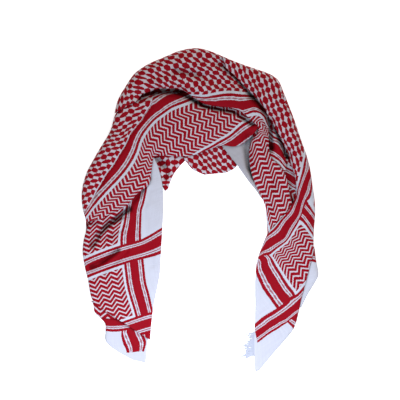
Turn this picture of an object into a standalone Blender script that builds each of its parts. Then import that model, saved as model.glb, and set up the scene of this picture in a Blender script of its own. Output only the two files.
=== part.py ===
"""A red and white keffiyeh (shemagh), folded into an arch and laid flat on its back.

The cloth is one square with a striped border. Folded, it shows as nine stretches, each a wall of
its own that lies on the folded layers below it, and a fringed strip at the right tip. The hidden
layers share one rounded solid. Plan sizes are in millimetres from the middle of the outline: x to
the right, y towards the head of the arch, and z up from the surface that the scarf lies on.
Blender's units are metres.
"""
import math

import bmesh
import bpy
import numpy as np
from mathutils import Vector
from mathutils.bvhtree import BVHTree

MM = 0.001
WALL = 2.0              # thickness of each modelled stretch of cloth
PITCH = 3.2             # rise from one layer of cloth to the next
BED = 2.4               # top of the lowest wall above the hidden layers
SEAM_GAP = 0.5          # least space between a wall and what it lies on
HEM_SHARE = 0.6         # share of the wall that hangs below its points along a turned edge
SKY = 0.2               # metres above the surface, where the search for what lies below starts
FEELERS = tuple((reach * math.cos(turn * math.pi / 4), reach * math.sin(turn * math.pi / 4))
                for reach in (3.5, 7.0) for turn in range(8)) + ((0.0, 0.0),)
CELL_ALONG = 17.0       # spacing of the sections after smoothing
CELL_ACROSS = 15.0      # widest cell between two points of a section
ROLL_STEPS = 3          # faces round a rolled edge
FLAT_TURN = 20.0        # degrees that an edge turns if it drops nothing
FULL_TURN = 88.0        # and if it drops FULL_DROP or more
FULL_DROP = 4.0
TO_FLOOR = 99.0         # a drop that reaches the surface
PILE_REACH = 34.0       # how far each post of the pile is felt
LINEN_WHITE = (0.78, 0.80, 0.86, 1.0)
BORDER_RED = (0.42, 0.02, 0.04, 1.0)
CHECK_PINK = (0.55, 0.22, 0.25, 1.0)

# Heights of the hidden layers, as posts that the cloth is stretched over.
# x, y, height
PILE = (
    (-5, 285, 29), (-60, 275, 28), (-115, 240, 25), (50, 270, 29), (105, 240, 29),
    (-60, 190, 25), (0, 180, 25), (60, 170, 24), (-110, 150, 22), (-160, 170, 21),
    (-195, 90, 17), (-150, 60, 16), (-200, 20, 15), (-110, 20, 12), (-190, -50, 13),
    (-110, -60, 11), (-190, -130, 10), (-110, -130, 9), (-180, -190, 8), (-120, -200, 7),
    (-165, -240, 5), (-120, -250, 4.5), (-140, -290, 1.5),
    (150, 215, 27), (185, 150, 23), (150, 130, 20), (205, 90, 19), (150, 70, 17),
    (210, 20, 16), (160, 10, 14), (205, -50, 13), (150, -50, 12), (190, -110, 10),
    (130, -110, 9), (185, -170, 7), (130, -170, 6), (170, -230, 4), (130, -230, 3.5),
    (125, -290, 1.5), (-65, 90, 9), (-70, 50, 4), (10, 100, 9), (20, 70, 4),
    (75, 110, 8), (105, 60, 7),
)

# Creases pressed through the whole pile.
# start x, start y, end x, end y, depth, half width
CREASES = (
    (-128, 228, -92, 238, 5, 10), (-92, 238, -40, 237, 9, 11), (-40, 237, -4, 218, 8, 11),
    (84, 252, 132, 200, 5, 11), (132, 200, 176, 112, 6, 11), (176, 112, 190, 20, 4, 10),
    (40, 288, 82, 244, 3, 12), (-142, 4, -206, -62, 4, 11), (-74, 274, 2, 270, 2.5, 13),
    (136, 176, 136, 130, 3, 10), (136, 130, 168, 92, 3, 10), (92, 140, 102, 76, 3, 9),
    (-196, 60, -222, 8, 2, 12), (196, 12, 180, -16, 3, 11),
)

# One row for each section of a stretch, from its first end to its last. The outer edge is on the
# outside of the arch. A level counts the layers below an edge, a roll is how wide the edge turns
# down, and a drop is how far down it goes.
# outer x, outer y, inner x, inner y, outer level, inner level,
# outer roll, outer drop, inner roll, inner drop
FRONT_BAND = (
    (-228, -24, -198, -18, 1.9, 1.9, 8, 5, 5, 0),
    (-236, 10, -176, -6, 2.0, 2.2, 12, 13, 6, 3),
    (-236, 40, -146, 10, 2.0, 2.6, 14, 15, 6, 6),
    (-228, 72, -124, 34, 2.0, 3.0, 15, 16, 6, 7),
    (-216, 96, -102, 52, 2.0, 3.0, 15, 17, 6, 7),
    (-200, 124, -96, 84, 2.0, 2.8, 15, 18, 6, 7),
    (-180, 158, -92, 106, 2.0, 2.4, 16, 19, 6, 4),
    (-170, 190, -78, 109, 2.0, 2.2, 14, 16, 8, 6),
    (-152, 216, -62, 108, 2.0, 2.2, 6, 3, 8, 6),
    (-120, 226, -44, 107, 2.0, 2.2, 8, 5, 8, 6),
    (-94, 233, -24, 108, 2.0, 2.2, 8, 6, 8, 6),
    (-68, 237, -2, 113, 2.0, 2.2, 8, 6, 8, 6),
    (-40, 235, 20, 122, 2.0, 2.2, 8, 5, 8, 6),
    (-14, 233, 44, 129, 2.0, 2.2, 5, 1, 9, 6),
    (20, 226, 68, 127, 2.0, 2.2, 4, 0, 9, 6),
    (52, 222, 88, 134, 2.0, 2.0, 4, 0, 9, 6),
    (80, 214, 104, 149, 2.0, 2.0, 4, 0, 7, 3),
    (104, 202, 116, 164, 2.0, 2.0, 3, 0, 4, 0),
    (120, 189, 126, 176, 2.0, 2.0, 2, 0, 2, 0),
)
TOP_BUNDLE = (
    (-171, 194, -126, 218, 3.0, 3.0, 13, 17, 6, 0),
    (-164, 221, -116, 231, 3.1, 3.2, 15, 20, 8, 3),
    (-150, 246, -100, 236.6, 3.3, 3.6, 17, 23, 10, 6),
    (-131, 273, -84, 242, 3.5, 4.2, 18, 25, 12, 9),
    (-104, 292, -66, 243, 3.6, 4.6, 19, 26, 12, 10),
    (-72, 306, -48, 242, 3.7, 4.6, 20, 26, 12, 10),
    (-40, 319, -30, 237, 3.7, 4.6, 20, 26, 12, 10),
    (-6, 324, -12, 224, 3.7, 4.4, 20, 26, 11, 9),
    (26, 316, 10, 212, 3.6, 4.2, 20, 25, 10, 8),
    (56, 301, 38, 207, 3.2, 4.0, 14, 14, 10, 8),
    (82, 282, 64, 204, 3.0, 3.8, 8, 3, 9, 7),
    (106, 264, 84, 196, 3.0, 3.6, 4, 0, 9, 6),
    (128, 243, 98, 184, 3.0, 3.4, 4, 0, 7, 5),
    (146, 218, 110, 173, 2.9, 3.2, 4, 0, 6, 4),
    (160, 190, 117, 165, 2.7, 3.0, 4, 0, 6, 4),
    (172, 160, 114, 151, 2.6, 2.8, 4, 0, 7, 4),
    (180, 134, 103, 138, 2.4, 2.6, 4, 0, 8, 5),
    (188, 106, 98, 116, 2.2, 2.4, 4, 0, 9, 5),
    (194, 78, 100, 88, 2.1, 2.2, 4, 0, 9, 5),
    (198, 50, 107, 60, 2.0, 2.0, 4, 0, 9, 5),
    (200, 24, 119, 33, 2.0, 2.0, 4, 0, 10, 8),
    (198, 0, 130, 8, 1.8, 1.8, 4, 0, 11, 10),
    (192, -26, 133, -22, 1.4, 1.4, 4, 0, 11, 10),
    (178, -52, 135, -52, 1.0, 1.0, 4, 0, 8, 4),
    (162, -72, 134, -74, 0.8, 0.8, 3, 0, 3, 0),
)
RIGHT_OUTER = (
    (44, 308, 52, 284, 4.2, 4.2, 12, 14, 6, 0),
    (68, 298, 69, 269, 4.2, 4.4, 14, 22, 7, 4),
    (92, 289, 84, 253, 4.2, 4.8, 15, 26, 8, 7),
    (116, 281, 99, 237, 4.2, 5.2, 16, 27, 8, 9),
    (140, 272, 114, 222, 4.2, 5.2, 16, 27, 8, 9),
    (157, 259, 127, 206, 4.2, 5.2, 16, 27, 8, 9),
    (168, 234, 137, 188, 4.0, 5.0, 16, 26, 8, 9),
    (180, 204, 148, 168, 3.8, 4.8, 16, 24, 8, 9),
    (192, 172, 159, 148, 3.6, 4.6, 16, 23, 8, 9),
    (202, 142, 170, 126, 3.4, 4.4, 15, 22, 8, 8),
    (212, 114, 179, 102, 3.3, 4.2, 15, 21, 8, 8),
    (220, 84, 186, 80, 3.2, 4.0, 14, 20, 8, 7),
    (225, 52, 192, 54, 3.1, 3.6, 14, 18, 7, 6),
    (229.4, 20, 191, 26, 3.0, 3.2, 14, 17, 6, 4),
    (230.6, -8, 182, -2, 2.8, 3.0, 13, 16, 5, 3),
    (228, -38, 160, -29, 2.5, 2.7, 13, 14, 4, 3),
    (227.4, -64, 137, -53, 2.2, 2.3, 12, 11, 5, 3),
    (227, -84, 122, -78, 1.8, 1.8, 10, 8, 10, 8),
    (222, -104, 114, -102, 1.4, 1.4, 6, 3, 11, 9),
    (216, -128, 111, -126, 1.2, 1.2, 5, 3, 11, 8),
    (209, -154, 110, -154, 1.2, 1.1, 5, 3, 10, 7),
    (202, -180, 110.4, -184, 1.2, 0.9, 5, 3, 9, 6),
    (197, -206, 110, -214, 1.0, 0.7, 5, 3, 8, 5),
    (188, -236, 108.6, -244, 0.5, 0.5, 7, 4, 7, 2),
    (168, -262, 108, -270, 0.3, 0.3, 6, 3, 6, 1.5),
    (147, -286, 108.4, -294, 0.1, 0.1, 5, 1.5, 5, 1),
    (129, -308, 109, -312, 0.0, 0.0, 4, 0, 4, 0),
    (119, -320, 111, -324, 0.0, 0.0, 2, 0, 2, 0),
)
LEFT_PANEL = (
    (-108, 100, -92, 105, 0.1, 0.1, 3, 0, 3, 0),
    (-118, 80, -84, 86, 0.5, 0.7, 4, 0, 8, 6),
    (-138, 54, -77, 60, 0.9, 1.0, 4, 0, 10, 9),
    (-172, 28, -73.6, 34, 0.9, 1.0, 4, 0, 11, 9),
    (-202, 2, -73, 8, 0.9, 1.0, 4, 0, 12, 9),
    (-218, -22, -74, -18, 0.6, 1.0, 5, 3, 12, 9),
    (-229, -46, -75.4, -44, 0.9, 1.0, 12, 9, 12, 9),
    (-234, -68, -77, -70, 1.0, 1.0, 12, 9, 12, 8),
    (-234.6, -90, -78.4, -96, 1.0, 1.0, 12, 9, 12, 8),
    (-230, -116, -80, -124, 1.0, 1.0, 12, 8, 11, 8),
    (-224, -142, -84.6, -152, 1.0, 1.0, 11, 8, 10, 7),
    (-220, -166, -90, -176, 1.0, 1.0, 9, 7, 9, 7),
    (-217, -176, -94, -201, 1.0, 1.0, 6, 4, 7, 5),
    (-212, -184, -97, -226, 1.0, 1.0, 5, 3, 6, 4),
    (-206, -192, -99, -249, 1.0, 1.0, 5, 0, 5, 0),
)
LEFT_FOOT = (
    (-200, -178, -106, -202, 0.0, 0.0, 4, 0, 4, 1),
    (-210, -198, -104, -222, 0.2, 0.1, 6, 3, 5, 2),
    (-202, -213, -103, -240, 0.4, 0.2, 7, 4, 6, 3),
    (-190, -227, -103.6, -254, 0.4, 0.2, 7, 4, 7, 4),
    (-189, -243, -105, -266, 0.3, 0.2, 7, 4, 7, 4),
    (-190, -258, -106, -278, 0.2, 0.1, 7, 4, 6, 3),
    (-180, -272, -106.6, -288, 0.1, 0.0, 6, 3, 5, 2),
    (-158, -287, -107.6, -296, 0.0, 0.0, 5, 0, 4, 0),
    (-134, -300, -109.5, -305, 0.0, 0.0, 3, 0, 3, 0),
)
LEFT_FLAP = (
    (-100, 128, -18, 128, 0.0, 0.0, 3, 0, 4, 0),
    (-98, 106, -26, 104, 0.0, 0.2, 3, 1, 9, 8),
    (-92, 88, -40, 88, 0.0, 0.2, 4, 3, 9, TO_FLOOR),
    (-85, 70, -51.4, 73, 0.0, 0.2, 4, 3, 8, TO_FLOOR),
    (-78, 52, -59, 57, 0.0, 0.2, 4, 3, 7, TO_FLOOR),
    (-70, 38, -64, 41, 0.0, 0.0, 2, 2, 2, TO_FLOOR),
)
RIGHT_FLAP = (
    (-16, 128, 58, 142, 0.0, 0.0, 8, 3, 4, 0),
    (-31, 105, 68, 122, 0.2, 0.0, 9, 7, 4, 0),
    (-25, 93, 74, 106, 0.2, 0.0, 9, TO_FLOOR, 4, 3),
    (-16, 82, 74, 91, 0.2, 0.0, 9, TO_FLOOR, 4, 4),
    (-8, 77.5, 69, 83, 0.1, 0.0, 8, TO_FLOOR, 5, 2),
    (8, 70.6, 52, 74.6, -0.6, -0.7, 5, 2, 5, 0),
)
WHITE_FOLD = (
    (44, 146, 114, 164, 0.9, 0.9, 4, 0, 4, 0),
    (47, 126, 122, 140, 1.0, 1.0, 8, 5, 4, 0),
    (60, 108, 124, 116, 1.0, 1.0, 10, 8, 4, 0),
    (74, 90, 126, 94, 1.0, 1.0, 10, TO_FLOOR, 4, 0),
    (86, 73, 130, 72, 0.9, 0.9, 10, TO_FLOOR, 4, 0),
    (99, 55, 134, 52, 0.7, 0.7, 9, TO_FLOOR, 4, 0),
    (112, 39, 139, 32, 0.5, 0.5, 7, TO_FLOOR, 4, 0),
    (121, 25, 144, 14, 0.3, 0.3, 4, 3, 3, 0),
)
RIGHT_UNDER = (
    (229, -74, 204, -68, 0.2, 0.2, 6, 3, 3, 0),
    (232, -98, 196, -92, 0.2, 0.2, 9, TO_FLOOR, 4, 0),
    (237, -128, 190, -122, 0.1, 0.1, 9, TO_FLOOR, 4, 0),
    (230, -145, 184, -148, 0.0, 0.0, 9, TO_FLOOR, 4, 0),
    (216, -168, 180, -174, 0.0, 0.0, 8, TO_FLOOR, 4, 0),
    (203, -194, 180, -202, 0.0, 0.0, 5, 2, 4, 0),
)
STRETCHES = (
    ("left_foot", LEFT_FOOT, LINEN_WHITE),
    ("left_flap", LEFT_FLAP, CHECK_PINK),
    ("right_flap", RIGHT_FLAP, CHECK_PINK),
    ("left_panel", LEFT_PANEL, LINEN_WHITE),
    ("white_fold", WHITE_FOLD, LINEN_WHITE),
    ("right_under", RIGHT_UNDER, LINEN_WHITE),
    ("front_band", FRONT_BAND, BORDER_RED),
    ("top_bundle", TOP_BUNDLE, CHECK_PINK),
    ("right_outer", RIGHT_OUTER, BORDER_RED),
)

# The hidden layers, section by section round the arch from the left foot to the right tip.
# outer x, outer y, inner x, inner y
HIDDEN_LAYERS = (
    (-172, -262, -116, -270), (-184, -236, -108, -250), (-202, -200, -104, -214),
    (-214, -166, -95, -178), (-226, -120, -86, -130), (-231, -76, -82, -80),
    (-228, -36, -79, -30), (-230, 4, -79, 20), (-230, 40, -83, 60), (-220, 80, -92, 92),
    (-200, 118, -84, 112), (-178, 156, -70, 115), (-166, 196, -54, 115),
    (-150, 236, -38, 115), (-126, 268, -20, 116), (-92, 291, -2, 119), (-48, 311, 14, 125),
    (-6, 318, 32, 132), (34, 308, 50, 137), (78, 288, 70, 139), (124, 268, 88, 144),
    (152, 250, 104, 152), (168, 218, 112, 146), (183, 184, 112, 132), (196, 150, 108, 112),
    (207, 112, 107, 90), (216, 72, 112, 66), (222, 32, 123, 38), (225, -8, 135, 8),
    (223, -46, 137, -28), (220, -80, 130, -66), (212, -116, 118, -106), (202, -152, 115, -146),
    (193, -190, 115, -190), (184, -222, 115, -230), (160, -254, 115, -260),
    (134, -280, 116, -284),
)
HIDDEN_SLACK = 0.5      # space between the hidden layers and the pile's height
# The side of the hidden layers, up from the surface: two rounded lips and the shoulder.
# in from the edge, share of the pile's height
SIDE_LIPS = (
    (2.5, 0.0), (0.4, 0.06), (0.0, 0.14), (2.8, 0.22), (0.6, 0.29), (0.6, 0.38),
    (3.6, 0.45), (7.0, 0.58), (16.0, 0.84), (30.0, 1.0),
)
CROWN_POINTS = 3        # points across the top between the two sides
FULL_SECTION = 80.0     # a section narrower than this has its sides drawn in to suit

# The fringe at the right tip: a hemmed strip with loose ends in three bunches.
FRINGE_TOP = (110.0, -246.0)
FRINGE_FOOT = (110.0, -290.0)
FRINGE_STRIP_WIDTH = 5.0
FRINGE_BASE = 0.5       # underside of the strip above the surface
FRINGE_THICKNESS = 1.2
FRINGE_SLOTS = 29
# slot of the strand, its length, how far its end swings down
STRANDS = (
    (1, 14, 3), (3, 18, 2), (5, 15, 0), (9, 10, 1), (11, 12, -1), (13, 11, 1), (15, 16, 0),
    (17, 18, 2), (19, 12, 1), (21, 15, 3), (23, 20, 6), (25, 25, 10), (27, 21, 11),
)
STRAND_TIP = 0.35       # share of its root's width that a strand keeps at its end
STRAND_DROOP = 0.3      # how far a strand's end sinks towards the surface


def clear_scene():
    """Start from an empty file, so a second run gives the same result."""
    for item in list(bpy.data.objects):
        bpy.data.objects.remove(item, do_unlink=True)


def cloth_material(name, colour):
    """Matt woven cotton."""
    material = bpy.data.materials.new(name)
    material.use_nodes = True
    shader = material.node_tree.nodes["Principled BSDF"]
    shader.inputs["Base Color"].default_value = colour
    shader.inputs["Roughness"].default_value = 0.85
    shader.inputs["Metallic"].default_value = 0.0
    return material


def add_object(name, mesh, colour, collection):
    """Put a mesh in the scarf's collection with a material of its own."""
    mesh.materials.append(cloth_material(name + "_cotton", colour))
    item = bpy.data.objects.new(name, mesh)
    collection.objects.link(item)
    return item


def pile_height(x, y):
    """Top of the hidden layers at plan points, in mm."""
    weight_sum = np.zeros(np.shape(x))
    height_sum = np.zeros(np.shape(x))
    for post_x, post_y, height in PILE:
        distance_2 = (x - post_x) ** 2 + (y - post_y) ** 2
        weight = np.exp(-distance_2 / (2 * PILE_REACH ** 2)) + 1e-9
        weight_sum += weight
        height_sum += weight * height
    height = height_sum / weight_sum
    for x0, y0, x1, y1, depth, half_width in CREASES:
        run_x, run_y = x1 - x0, y1 - y0
        share = ((x - x0) * run_x + (y - y0) * run_y) / (run_x ** 2 + run_y ** 2)
        share = np.clip(share, 0.0, 1.0)
        off_2 = (x - x0 - share * run_x) ** 2 + (y - y0 - share * run_y) ** 2
        height = height - depth * np.exp(-off_2 / half_width ** 2)
    return height


def smooth_rows(table, step):
    """The table's rows, with rows between them on a Catmull-Rom curve about a step apart."""
    rows = np.array(table, dtype=float)
    ends = np.vstack([2 * rows[0] - rows[1], rows, 2 * rows[-1] - rows[-2]])
    smoothed = []
    for before, start, end, after in zip(ends, ends[1:], ends[2:], ends[3:]):
        longest = max(math.dist(start[:2], end[:2]), math.dist(start[2:4], end[2:4]))
        count = max(1, round(longest / step))
        for w in (np.arange(count) / count):
            smoothed.append(start + 0.5 * w * (end - before + w * (
                2 * before - 5 * start + 4 * end - after
                + w * (3 * (start - end) + after - before))))
    smoothed.append(rows[-1])
    return np.array(smoothed)


def resting_height(x, y, laid):
    """The highest thing near a plan point that a wall there would lie on, in mm."""
    highest = 0.0
    for across, up in FEELERS:
        start = Vector(((x + across) * MM, (y + up) * MM, SKY))
        for tree in laid:
            hit = tree.ray_cast(start, Vector((0.0, 0.0, -1.0)))[0]
            if hit:
                highest = max(highest, hit.z / MM)
    return highest


def wall_top(x, y, level):
    """Top of a wall that lies a number of layers up on the pile, in mm."""
    return pile_height(x, y) + BED + PITCH * level


def rolled_edge(roll, drop):
    """Points round a turned edge, from its end up: how far in they are, and how far down."""
    full = math.radians(FLAT_TURN + (FULL_TURN - FLAT_TURN) * min(1.0, drop / FULL_DROP))
    turns = np.linspace(full, 0.0, ROLL_STEPS, endpoint=False)
    inward = roll * (1 - np.sin(turns) / math.sin(full))
    return inward, drop * (1 - np.cos(turns)) / (1 - math.cos(full))


def section_points(row, inner_count, laid):
    """One section of a stretch: its points in mm, from the outer edge to the inner one."""
    outer, inner = row[0:2], row[2:4]
    outer_level, inner_level, outer_roll, outer_drop, inner_roll, inner_drop = row[4:10]
    width = math.dist(outer, inner)
    squeeze = min(1.0, 0.8 * width / (outer_roll + inner_roll))
    outer_roll, inner_roll = outer_roll * squeeze, inner_roll * squeeze
    ends_below = [resting_height(*end, laid) for end in (outer, inner)]
    ends_room = [wall_top(*end, level) - below - SEAM_GAP - HEM_SHARE * WALL for end, level, below
                 in zip((outer, inner), (outer_level, inner_level), ends_below)]
    outer_in, outer_sink = rolled_edge(outer_roll, min(outer_drop, max(0.0, ends_room[0])))
    inner_in, inner_sink = rolled_edge(inner_roll, min(inner_drop, max(0.0, ends_room[1])))
    flat_in = np.linspace(outer_roll, width - inner_roll, inner_count)
    along = np.concatenate([outer_in, flat_in, width - inner_in[::-1]])
    sink = np.concatenate([outer_sink, np.zeros(inner_count), inner_sink[::-1]])
    share = along / width
    plan = outer + share[:, None] * (inner - outer)
    top = wall_top(plan[:, 0], plan[:, 1], outer_level + share * (inner_level - outer_level))
    clearance = np.full(len(along), SEAM_GAP + WALL)
    clearance[[0, -1]] = SEAM_GAP + HEM_SHARE * WALL
    below = np.array([resting_height(x, y, laid) for x, y in plan])
    return np.column_stack([plan, np.maximum(top - sink, below + clearance)])


def surface_tree(item):
    """What the next stretch feels for: the finished faces of a laid piece."""
    graph = bpy.context.evaluated_depsgraph_get()
    return BVHTree.FromObject(item, graph)


def lay_stretch(name, table, colour, collection, laid):
    """A stretch of cloth: a loft through its sections, thickened downwards."""
    rows = smooth_rows(table, CELL_ALONG)
    widest = max(math.dist(row[0:2], row[2:4]) for row in rows)
    inner_count = max(3, round(widest / CELL_ACROSS))
    points = np.array([section_points(row, inner_count, laid) for row in rows]) * MM
    row_count, column_count = points.shape[:2]
    faces = []
    for row in range(row_count - 1):
        for column in range(column_count - 1):
            corner = row * column_count + column
            faces.append((corner, corner + column_count, corner + column_count + 1, corner + 1))
    mesh = bpy.data.meshes.new(name)
    mesh.from_pydata(points.reshape(-1, 3).tolist(), [], faces)
    if sum(face.normal.z for face in mesh.polygons) < 0:
        mesh.flip_normals()
    mesh.shade_smooth()
    item = add_object(name, mesh, colour, collection)
    wall = item.modifiers.new("wall", "SOLIDIFY")
    wall.thickness = WALL * MM
    wall.offset = -1.0
    return item


def lay_hidden_layers(collection):
    """The folded layers that nothing shows of but their edges, as one solid with a flat base."""
    rings = []
    for outer_x, outer_y, inner_x, inner_y in HIDDEN_LAYERS:
        outer, inner = np.array((outer_x, outer_y)), np.array((inner_x, inner_y))
        width = math.dist(outer, inner)
        fit = min(1.0, width / FULL_SECTION)
        side_in = np.array([row[0] for row in SIDE_LIPS]) * fit
        side_share = np.array([row[1] for row in SIDE_LIPS])
        crown_in = np.linspace(side_in[-1], width - side_in[-1], CROWN_POINTS + 2)[1:-1]
        along = np.concatenate([side_in, crown_in, (width - side_in)[::-1]])
        share_up = np.concatenate([side_share, np.ones(CROWN_POINTS), side_share[::-1]])
        plan = outer + (along / width)[:, None] * (inner - outer)
        height = (pile_height(plan[:, 0], plan[:, 1]) - HIDDEN_SLACK) * share_up
        rings.append(np.column_stack([plan, height]) * MM)
    points = np.array(rings)
    ring_count, ring_size = points.shape[:2]
    faces = []
    for ring in range(ring_count - 1):
        for corner in range(ring_size):
            here = ring * ring_size + corner
            after = ring * ring_size + (corner + 1) % ring_size
            faces.append((here, here + ring_size, after + ring_size, after))
    faces.append(tuple(range(ring_size)))
    faces.append(tuple(range(ring_count * ring_size - 1, (ring_count - 1) * ring_size - 1, -1)))
    mesh = bpy.data.meshes.new("hidden_folds")
    mesh.from_pydata(points.reshape(-1, 3).tolist(), [], faces)
    shape = bmesh.new()
    shape.from_mesh(mesh)
    bmesh.ops.recalc_face_normals(shape, faces=shape.faces)
    shape.to_mesh(mesh)
    shape.free()
    return add_object("hidden_folds", mesh, CHECK_PINK, collection)


def lay_fringe(collection):
    """The fringed strip at the right tip: strands drawn out of the side of a thin hem."""
    shape = bmesh.new()
    hem_points = np.linspace(FRINGE_TOP, FRINGE_FOOT, FRINGE_SLOTS + 1)
    corners = []
    for x, y in hem_points:
        stack = []
        for across, height in ((0.0, FRINGE_BASE), (0.0, FRINGE_BASE + FRINGE_THICKNESS),
                               (FRINGE_STRIP_WIDTH, FRINGE_BASE + FRINGE_THICKNESS),
                               (FRINGE_STRIP_WIDTH, FRINGE_BASE)):
            stack.append(shape.verts.new(((x + across) * MM, y * MM, height * MM)))
        corners.append(stack)
    slot_faces = []
    for here, after in zip(corners, corners[1:]):
        slot_faces.append(shape.faces.new((here[0], here[1], after[1], after[0])))
        for k in (1, 2, 3):
            shape.faces.new((here[k], here[(k + 1) % 4], after[(k + 1) % 4], after[k]))
    shape.faces.new(corners[0][::-1])
    shape.faces.new(corners[-1])
    for slot, length, swing in STRANDS:
        face = slot_faces[slot]
        drawn = bmesh.ops.extrude_discrete_faces(shape, faces=[face])["faces"][0]
        middle = drawn.calc_center_median()
        for vert in drawn.verts:
            offset = (vert.co - middle) * STRAND_TIP
            vert.co = middle + offset
            vert.co.x -= length * MM
            vert.co.y -= swing * MM
            vert.co.z -= STRAND_DROOP * MM
    bmesh.ops.recalc_face_normals(shape, faces=shape.faces)
    mesh = bpy.data.meshes.new("fringe")
    shape.to_mesh(mesh)
    shape.free()
    return add_object("fringe", mesh, LINEN_WHITE, collection)


clear_scene()
scarf = bpy.data.collections.new("keffiyeh")
bpy.context.scene.collection.children.link(scarf)
laid_pieces = [surface_tree(lay_hidden_layers(scarf)), surface_tree(lay_fringe(scarf))]
for stretch_name, stretch_table, stretch_colour in STRETCHES:
    stretch = lay_stretch(stretch_name, stretch_table, stretch_colour, scarf, laid_pieces)
    laid_pieces.append(surface_tree(stretch))
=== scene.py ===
import math

import bmesh
import bpy
import numpy as np
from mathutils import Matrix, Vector


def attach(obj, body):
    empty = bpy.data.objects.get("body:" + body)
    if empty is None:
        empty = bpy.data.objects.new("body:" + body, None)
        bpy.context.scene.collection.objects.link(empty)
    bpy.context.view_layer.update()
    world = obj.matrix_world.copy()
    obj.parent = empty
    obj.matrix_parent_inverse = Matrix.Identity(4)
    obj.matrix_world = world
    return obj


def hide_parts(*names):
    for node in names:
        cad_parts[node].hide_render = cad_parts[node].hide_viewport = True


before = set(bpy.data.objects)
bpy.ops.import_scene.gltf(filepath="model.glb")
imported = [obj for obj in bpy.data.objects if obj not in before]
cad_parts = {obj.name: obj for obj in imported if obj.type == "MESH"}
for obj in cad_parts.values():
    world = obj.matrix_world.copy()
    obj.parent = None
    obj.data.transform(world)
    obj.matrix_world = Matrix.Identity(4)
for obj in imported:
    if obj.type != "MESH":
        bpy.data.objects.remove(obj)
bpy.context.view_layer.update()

# ---- The folded layers under the scarf ----
# The scarf is one square of thin woven cotton, 1.33 m a side, folded into an arch and laid on its
# back. Of its lower layers only the rounded edges show, so they are one pile, and every stretch
# that shows is draped over it. Plan sizes are in millimetres, x to the right, y to the arch's head.
MM = 0.001
SIDE = 1330.0           # the square's side
CLOTH = 1.1             # cloth with its nap, as thick as it shows
POST_REACH = 34.0       # how far each height of the pile is felt

# Heights of the pile that the cloth is stretched over.
# x, y, height
PILE = (
    (-5, 285, 29), (-60, 275, 28), (-115, 240, 25), (50, 270, 29), (105, 240, 29),
    (-60, 190, 25), (0, 180, 25), (60, 170, 24), (-110, 150, 22), (-160, 170, 21),
    (-195, 90, 17), (-150, 60, 16), (-200, 20, 15), (-110, 20, 12), (-190, -50, 13),
    (-110, -60, 11), (-190, -130, 10), (-110, -130, 9), (-180, -190, 8), (-120, -200, 7),
    (-165, -240, 5), (-120, -250, 4.5), (-140, -290, 1.5),
    (150, 215, 27), (185, 150, 23), (150, 130, 20), (205, 90, 19), (150, 70, 17),
    (210, 20, 16), (160, 10, 14), (205, -50, 13), (150, -50, 12), (190, -110, 10),
    (130, -110, 9), (185, -170, 7), (130, -170, 6), (170, -230, 4), (130, -230, 3.5),
    (125, -290, 1.5), (-65, 90, 9), (-70, 50, 4), (10, 100, 9), (20, 70, 4),
    (75, 110, 8), (105, 60, 7),
)

# Fold lines that go through the whole pile and show again in the cloth on top of it.
LEFT_LEG_FOLD = ((-142, 2), (-156, -8), (-174, -22), (-188, -32), (-202, -46), (-216, -70))
LEFT_STRIPE_FOLD = ((-218, -114), (-196, -104), (-174, -88), (-164, -80))
UPPER_LEG_FOLD = ((134, 120), (136, 100), (144, 84), (150, 64), (148, 40))
LOWER_LEG_FOLD = ((116, 48), (128, 32), (138, 14), (144, -4))
# Creases pressed through the whole pile.
# half width, depth, then the crease's plan points
PILE_CREASES = (
    (10, 5, (-128, 228), (-92, 238)), (11, 9, (-92, 238), (-40, 237)),
    (11, 8, (-40, 237), (-4, 218)), (9, 4, (84, 252), (104, 230)), (9, 9, (104, 230), (132, 200)),
    (9, 9, (132, 200), (176, 112)), (8, 8, (176, 112), (190, 20)), (12, 1, (40, 288), (82, 244)),
    (5.5, 9, *LEFT_LEG_FOLD), (5, 5, *LEFT_STRIPE_FOLD),
    (5, 2.2, *UPPER_LEG_FOLD), (5, 2.2, *LOWER_LEG_FOLD),
    (10, 5, (-104, 262), (-66, 276), (-40, 278), (16, 266), (60, 244)),
    (10, 4, (-6, 302), (24, 300), (52, 282), (76, 262)), (7, 8, (137, 180), (141, 124)),
    (8, 5, (141, 124), (168, 92)), (8, 7, (94, 148), (102, 84)), (8, 8, (-88, 108), (-74, 92)),
    (12, 2, (-196, 60), (-222, 8)), (11, 3, (196, 12), (180, -16)),
)


def pressed(x, y, creases):
    """How far creases lower plan points, in mm."""
    sunk = np.zeros(np.shape(x))
    for half_width, depth, *points in creases:
        nearest_2 = np.full(np.shape(x), np.inf)
        for (x0, y0), (x1, y1) in zip(points, points[1:]):
            run_x, run_y = x1 - x0, y1 - y0
            share = ((x - x0) * run_x + (y - y0) * run_y) / (run_x ** 2 + run_y ** 2)
            share = np.clip(share, 0.0, 1.0)
            nearest_2 = np.minimum(nearest_2, (x - x0 - share * run_x) ** 2
                                   + (y - y0 - share * run_y) ** 2)
        sunk = sunk + depth * np.exp(-nearest_2 / half_width ** 2)
    return sunk


def pile_height(x, y):
    """Top of the hidden layers at plan points, in mm."""
    weight_sum = np.zeros(np.shape(x))
    height_sum = np.zeros(np.shape(x))
    for post_x, post_y, height in PILE:
        distance_2 = (x - post_x) ** 2 + (y - post_y) ** 2
        weight = np.exp(-distance_2 / (2 * POST_REACH ** 2)) + 1e-9
        weight_sum += weight
        height_sum += weight * height
    return height_sum / weight_sum - pressed(x, y, PILE_CREASES)


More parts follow.
